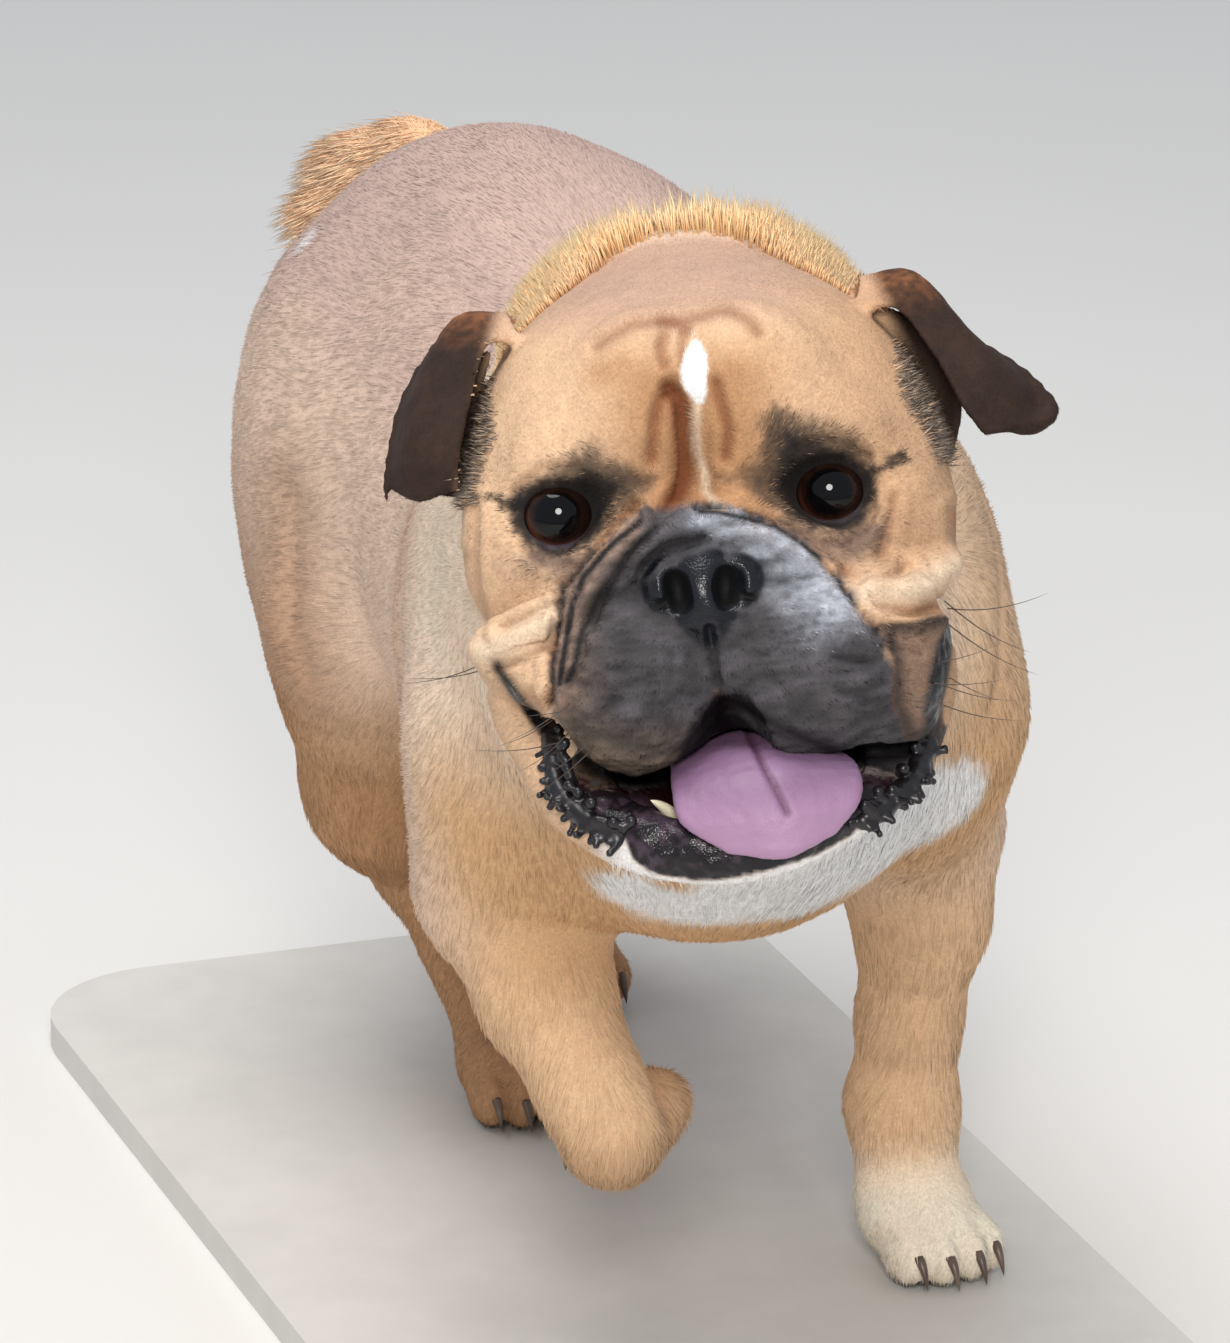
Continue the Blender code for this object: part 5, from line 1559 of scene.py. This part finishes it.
def make_claws():
    cones = []
    for at, heading in PAWS.values():
        root, tip = (0.0, -0.0120, 0.0040), (0.0, -0.0205, -0.0080)
        cones += claws_on(*toes_of(at, heading), root, tip, 0.0022, 0.0020)
    cones += claws_on(*lifted_toes(), (0.0, -0.011, 0.002), (0.0, -0.021, -0.007), 0.0024, 0.0018)
    claws = make_cones("claws", cones)
    points = points_of(claws)
    horn = np.tile(tint(54, 42, 38), (len(points), 1))
    set_colour(claws, lay(horn, tint(120, 100, 84), 0.4 + 0.4 * noise(points, 0.004, 61)))
    return claws


def make_whiskers(rng):
    hairs = []
    spots = [(-44 + 7 * rng.random(), -56, -58 - 6 * k) for k in range(4)]
    spots += [(-52, -38, -66 - 7 * k) for k in range(3)]
    spots += [(50 + 6 * k, -58 + 3 * k, -64 - 5 * (k % 3)) for k in range(5)]
    spots += [(80, -36, -60 - 8 * k) for k in range(3)]
    spots += [(-80, 10, -52), (-81, 14, -49), (94, 8, -44), (95, 12, -47), (93, 14, -51)]
    for x, y, z in spots:
        away = np.sign(x)
        reach = 24 + 14 * rng.random()
        across = away * (0.8 + 0.3 * rng.random())
        back = -0.25 + 0.5 * rng.random()
        rise = -0.35 + 0.3 * rng.standard_normal()
        way = np.array((across, back, rise))
        way /= np.linalg.norm(way)
        inner = np.array((x, y, z)) - np.array((away * 5, -5, 0))
        tip = inner + way * (reach + 7)
        bend = HEAD_AXES @ np.array((0.0, 0.0015, -0.0028))
        hairs.append(bent_cone(head(*inner), head(*tip), 0.00024, bend, 9, 6))
    return make_cones("whiskers", hairs)


# Materials

def new_material(name):
    made = bpy.data.materials.new(name)
    made.use_nodes = True
    return made, made.node_tree, made.node_tree.nodes["Principled BSDF"]


def set_inputs(node, values):
    for name, value in values.items():
        node.inputs[name].default_value = value


def add_node(tree, kind, inputs=None, **settings):
    """A new node with its settings and the values of its inputs."""
    made = tree.nodes.new(kind)
    for name, value in settings.items():
        setattr(made, name, value)
    set_inputs(made, inputs or {})
    return made


def kept_at_points(tree, name, output):
    """What the mesh keeps at its points under the name."""
    return add_node(tree, "ShaderNodeAttribute", attribute_name=name).outputs[output]


def add_grain(tree, scale, detail):
    """A fine unevenness through the object's own space."""
    spot = add_node(tree, "ShaderNodeTexCoord").outputs["Object"]
    grain = add_node(tree, "ShaderNodeTexNoise", {"Scale": scale, "Detail": detail})
    tree.links.new(spot, grain.inputs["Vector"])
    return grain.outputs["Fac"]


def add_bump(tree, shader, height, strength, distance):
    bump = add_node(tree, "ShaderNodeBump", {"Strength": strength, "Distance": distance})
    tree.links.new(height, bump.inputs["Height"])
    tree.links.new(bump.outputs["Normal"], shader.inputs["Normal"])


def skin_material():
    """The markings, with a fine grain of short hair where dry and leather where wet."""
    made, tree, shader = new_material("skin_and_short_hair")
    link = tree.links.new
    wet = kept_at_points(tree, "Wet", "Fac")
    grain = add_grain(tree, 900.0, 3.0)
    # the grain darkens the colour unevenly: partly tone that differs at random, partly painted shade among
    # the short hairs
    shade = add_node(tree, "ShaderNodeMapRange",
                     {"From Min": 0.3, "From Max": 0.7, "To Min": 0.74, "To Max": 1.0})
    link(grain, shade.inputs["Value"])
    mixed = add_node(tree, "ShaderNodeVectorMath", operation="SCALE")
    link(kept_at_points(tree, "Coat", "Color"), mixed.inputs[0])
    link(shade.outputs["Result"], mixed.inputs["Scale"])
    link(mixed.outputs["Vector"], shader.inputs["Base Color"])
    rough = add_node(tree, "ShaderNodeMapRange", {"To Min": 0.82, "To Max": 0.24})
    link(wet, rough.inputs["Value"])
    link(rough.outputs["Result"], shader.inputs["Roughness"])
    cells = add_node(tree, "ShaderNodeTexVoronoi", {"Scale": 760.0}, feature="DISTANCE_TO_EDGE")
    link(add_node(tree, "ShaderNodeTexCoord").outputs["Object"], cells.inputs["Vector"])
    leather = add_node(tree, "ShaderNodeMapRange", {"From Max": 0.25, "To Max": 0.16})
    link(cells.outputs["Distance"], leather.inputs["Value"])
    height = add_node(tree, "ShaderNodeMix", data_type="FLOAT")
    link(wet, height.inputs["Factor"])
    link(grain, height.inputs[2])
    link(leather.outputs["Result"], height.inputs[3])
    add_bump(tree, shader, height.outputs[0], 0.55, 0.0006)
    set_inputs(shader, {"Specular IOR Level": 0.3})
    return made


def coloured_material(name, roughness, specular=0.5, coat=0.0, coat_index=1.5,
                      bump_size=None, bump_height=0.0003):
    """A surface with the colours kept at its points, and a fine grain if a size is given for it."""
    made, tree, shader = new_material(name)
    tree.links.new(kept_at_points(tree, "Coat", "Color"), shader.inputs["Base Color"])
    set_inputs(shader, {"Roughness": roughness, "Specular IOR Level": specular, "Coat Weight": coat,
                        "Coat Roughness": 0.03, "Coat IOR": coat_index})
    if bump_size:
        add_bump(tree, shader, add_grain(tree, 1 / bump_size, 4.0), 0.6, bump_height)
    return made


def plain_material(name, colour, roughness, specular=0.5, spread=0.06, size=0.01, bump_height=0.0001):
    """One colour with a slight unevenness."""
    made, tree, shader = new_material(name)
    grain = add_grain(tree, 1 / size, 5.0)
    ramp = add_node(tree, "ShaderNodeValToRGB")
    ramp.color_ramp.elements[0].position = 0.3
    ramp.color_ramp.elements[1].position = 0.7
    ramp.color_ramp.elements[0].color = (*(np.array(colour) * (1 - spread)), 1)
    ramp.color_ramp.elements[1].color = (*(np.array(colour) * (1 + spread)), 1)
    tree.links.new(grain, ramp.inputs["Fac"])
    tree.links.new(ramp.outputs["Color"], shader.inputs["Base Color"])
    set_inputs(shader, {"Roughness": roughness, "Specular IOR Level": specular})
    add_bump(tree, shader, grain, 0.4, bump_height)
    return made


# The whole animal

rng = np.random.default_rng(7)
skin = make_skin()
skin.data.materials.append(skin_material())
coat = coloured_material("short_coat", 0.66, 0.16)
long_hair = coloured_material("long_hair", 0.55, 0.22)
pieces = make_short_coat(skin, rng)
for piece in pieces:
    piece.data.materials.append(coat)
strands = [make_nape(skin, rng, "a"), make_nape(skin, rng, "b"), make_tail_hair(skin, rng),
           make_ear_fringe(skin, rng)]
for piece in strands:
    piece.data.materials.append(long_hair)
eyes = [make_eye(side, "eyeball_" + name) for side, name in SIDES]
for eye in eyes:
    eye.data.materials.append(coloured_material("eye_surface", 0.6, 0.0, coat=1.0, coat_index=1.33))
tongue = make_tongue()
tongue.data.materials.append(coloured_material("wet_tongue", 0.48, 0.4, bump_size=0.0009))
teeth = make_teeth()
enamel = coloured_material("enamel", 0.22, 0.5, coat=0.3, bump_size=0.002, bump_height=0.00005)
teeth.data.materials.append(enamel)
fringe = make_lip_fringe(rng)
fringe.data.materials.append(plain_material("wet_lip", LIP, 0.34, 0.5, 0.3, 0.003))
claws = make_claws()
claws.data.materials.append(coloured_material("horn", 0.35, 0.5, bump_size=0.0015, bump_height=0.0001))
whiskers = make_whiskers(rng)
whiskers.data.materials.append(plain_material("whisker", tint(70, 60, 56), 0.4, 0.4, 0.3, 0.004))

eye_low, eye_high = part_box("eye_left")
shift = np.array((eye_low + eye_high) / 2) - head(EYE_APART, EYE_BACK, 0)
everything = [skin, *pieces, *strands, *eyes, tongue, teeth, fringe, claws, whiskers]
for piece in everything:
    piece.data.transform(Matrix.Translation(Vector(shift)))
    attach(piece, "root")
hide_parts(*FLESH_NODES)
for eye, node in zip(eyes, ("eye_right", "eye_left")):
    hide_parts(node)
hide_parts("tongue")
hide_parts("tooth_canine")
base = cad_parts["stand_base"]
base.data.materials.clear()
base.data.materials.append(plain_material("painted_board", tint(206, 203, 197), 0.55, 0.4, 0.04, 0.03))

# Floor, light and camera


def camera_axes(turned, drop):
    ahead = np.array((sin(turned) * cos(drop), cos(turned) * cos(drop), -sin(drop)))
    right = np.array((cos(turned), -sin(turned), 0.0))
    return right, np.cross(right, ahead), ahead


floor_mesh = bpy.data.meshes.new("floor")
bm = bmesh.new()
bmesh.ops.create_grid(bm, x_segments=8, y_segments=8, size=FLOOR_HALF)
bm.to_mesh(floor_mesh)
bm.free()
floor = bpy.data.objects.new("floor", floor_mesh)
bpy.context.scene.collection.objects.link(floor)
floor.data.materials.append(plain_material("floor", tint(222, 220, 216), 0.9, 0.2, 0.01, 0.4, 0.00005))

world = bpy.data.worlds.new("studio")
world.use_nodes = True
set_inputs(world.node_tree.nodes["Background"], {"Color": (0.86, 0.91, 1.0, 1.0), "Strength": 0.56})
bpy.context.scene.world = world


def add_light(name, at, aim, energy, size, colour=(1.0, 1.0, 1.0)):
    light = bpy.data.lights.new(name, "AREA")
    light.shape = "DISK"
    light.energy = energy
    light.size = size
    light.color = colour
    obj = bpy.data.objects.new(name, light)
    obj.location = at
    obj.rotation_euler = (Vector(aim) - Vector(at)).to_track_quat("-Z", "Y").to_euler()
    bpy.context.scene.collection.objects.link(obj)


add_light("overhead", (-0.5, -0.1, 2.9), (0.0, 0.0, 0.2), 52.0, 1.7, (1.0, 0.98, 0.95))
add_light("key", (-1.0, -2.9, 1.9), (0.0, -0.1, 0.25), 62.0, 0.9, (1.0, 0.97, 0.93))

off_x = (LOOK_AT_PIXEL[0] - PICTURE_MIDDLE[0]) / PIXELS_OF_FOCUS
off_y = -(LOOK_AT_PIXEL[1] - PICTURE_MIDDLE[1]) / PIXELS_OF_FOCUS
turned = radians(VIEW_TURN) - np.arctan(off_x)
drop = radians(VIEW_DROP) + np.arctan(off_y)
right, up, ahead = camera_axes(turned, drop)
camera_data = bpy.data.cameras.new("camera")
camera_data.sensor_width = SENSOR
camera_data.lens = PIXELS_OF_FOCUS / PICTURE_HEIGHT * SENSOR
camera_data.clip_start = 0.05
camera_data.clip_end = 100.0
camera = bpy.data.objects.new("camera", camera_data)
bpy.context.scene.collection.objects.link(camera)
place = Matrix.Identity(4)
for row in range(3):
    place[row][0], place[row][1], place[row][2] = right[row], up[row], -ahead[row]
    place[row][3] = CAMERA_AT[row] + shift[row]
camera.matrix_world = place
bpy.context.scene.camera = camera
bpy.context.scene.view_settings.view_transform = "Standard"
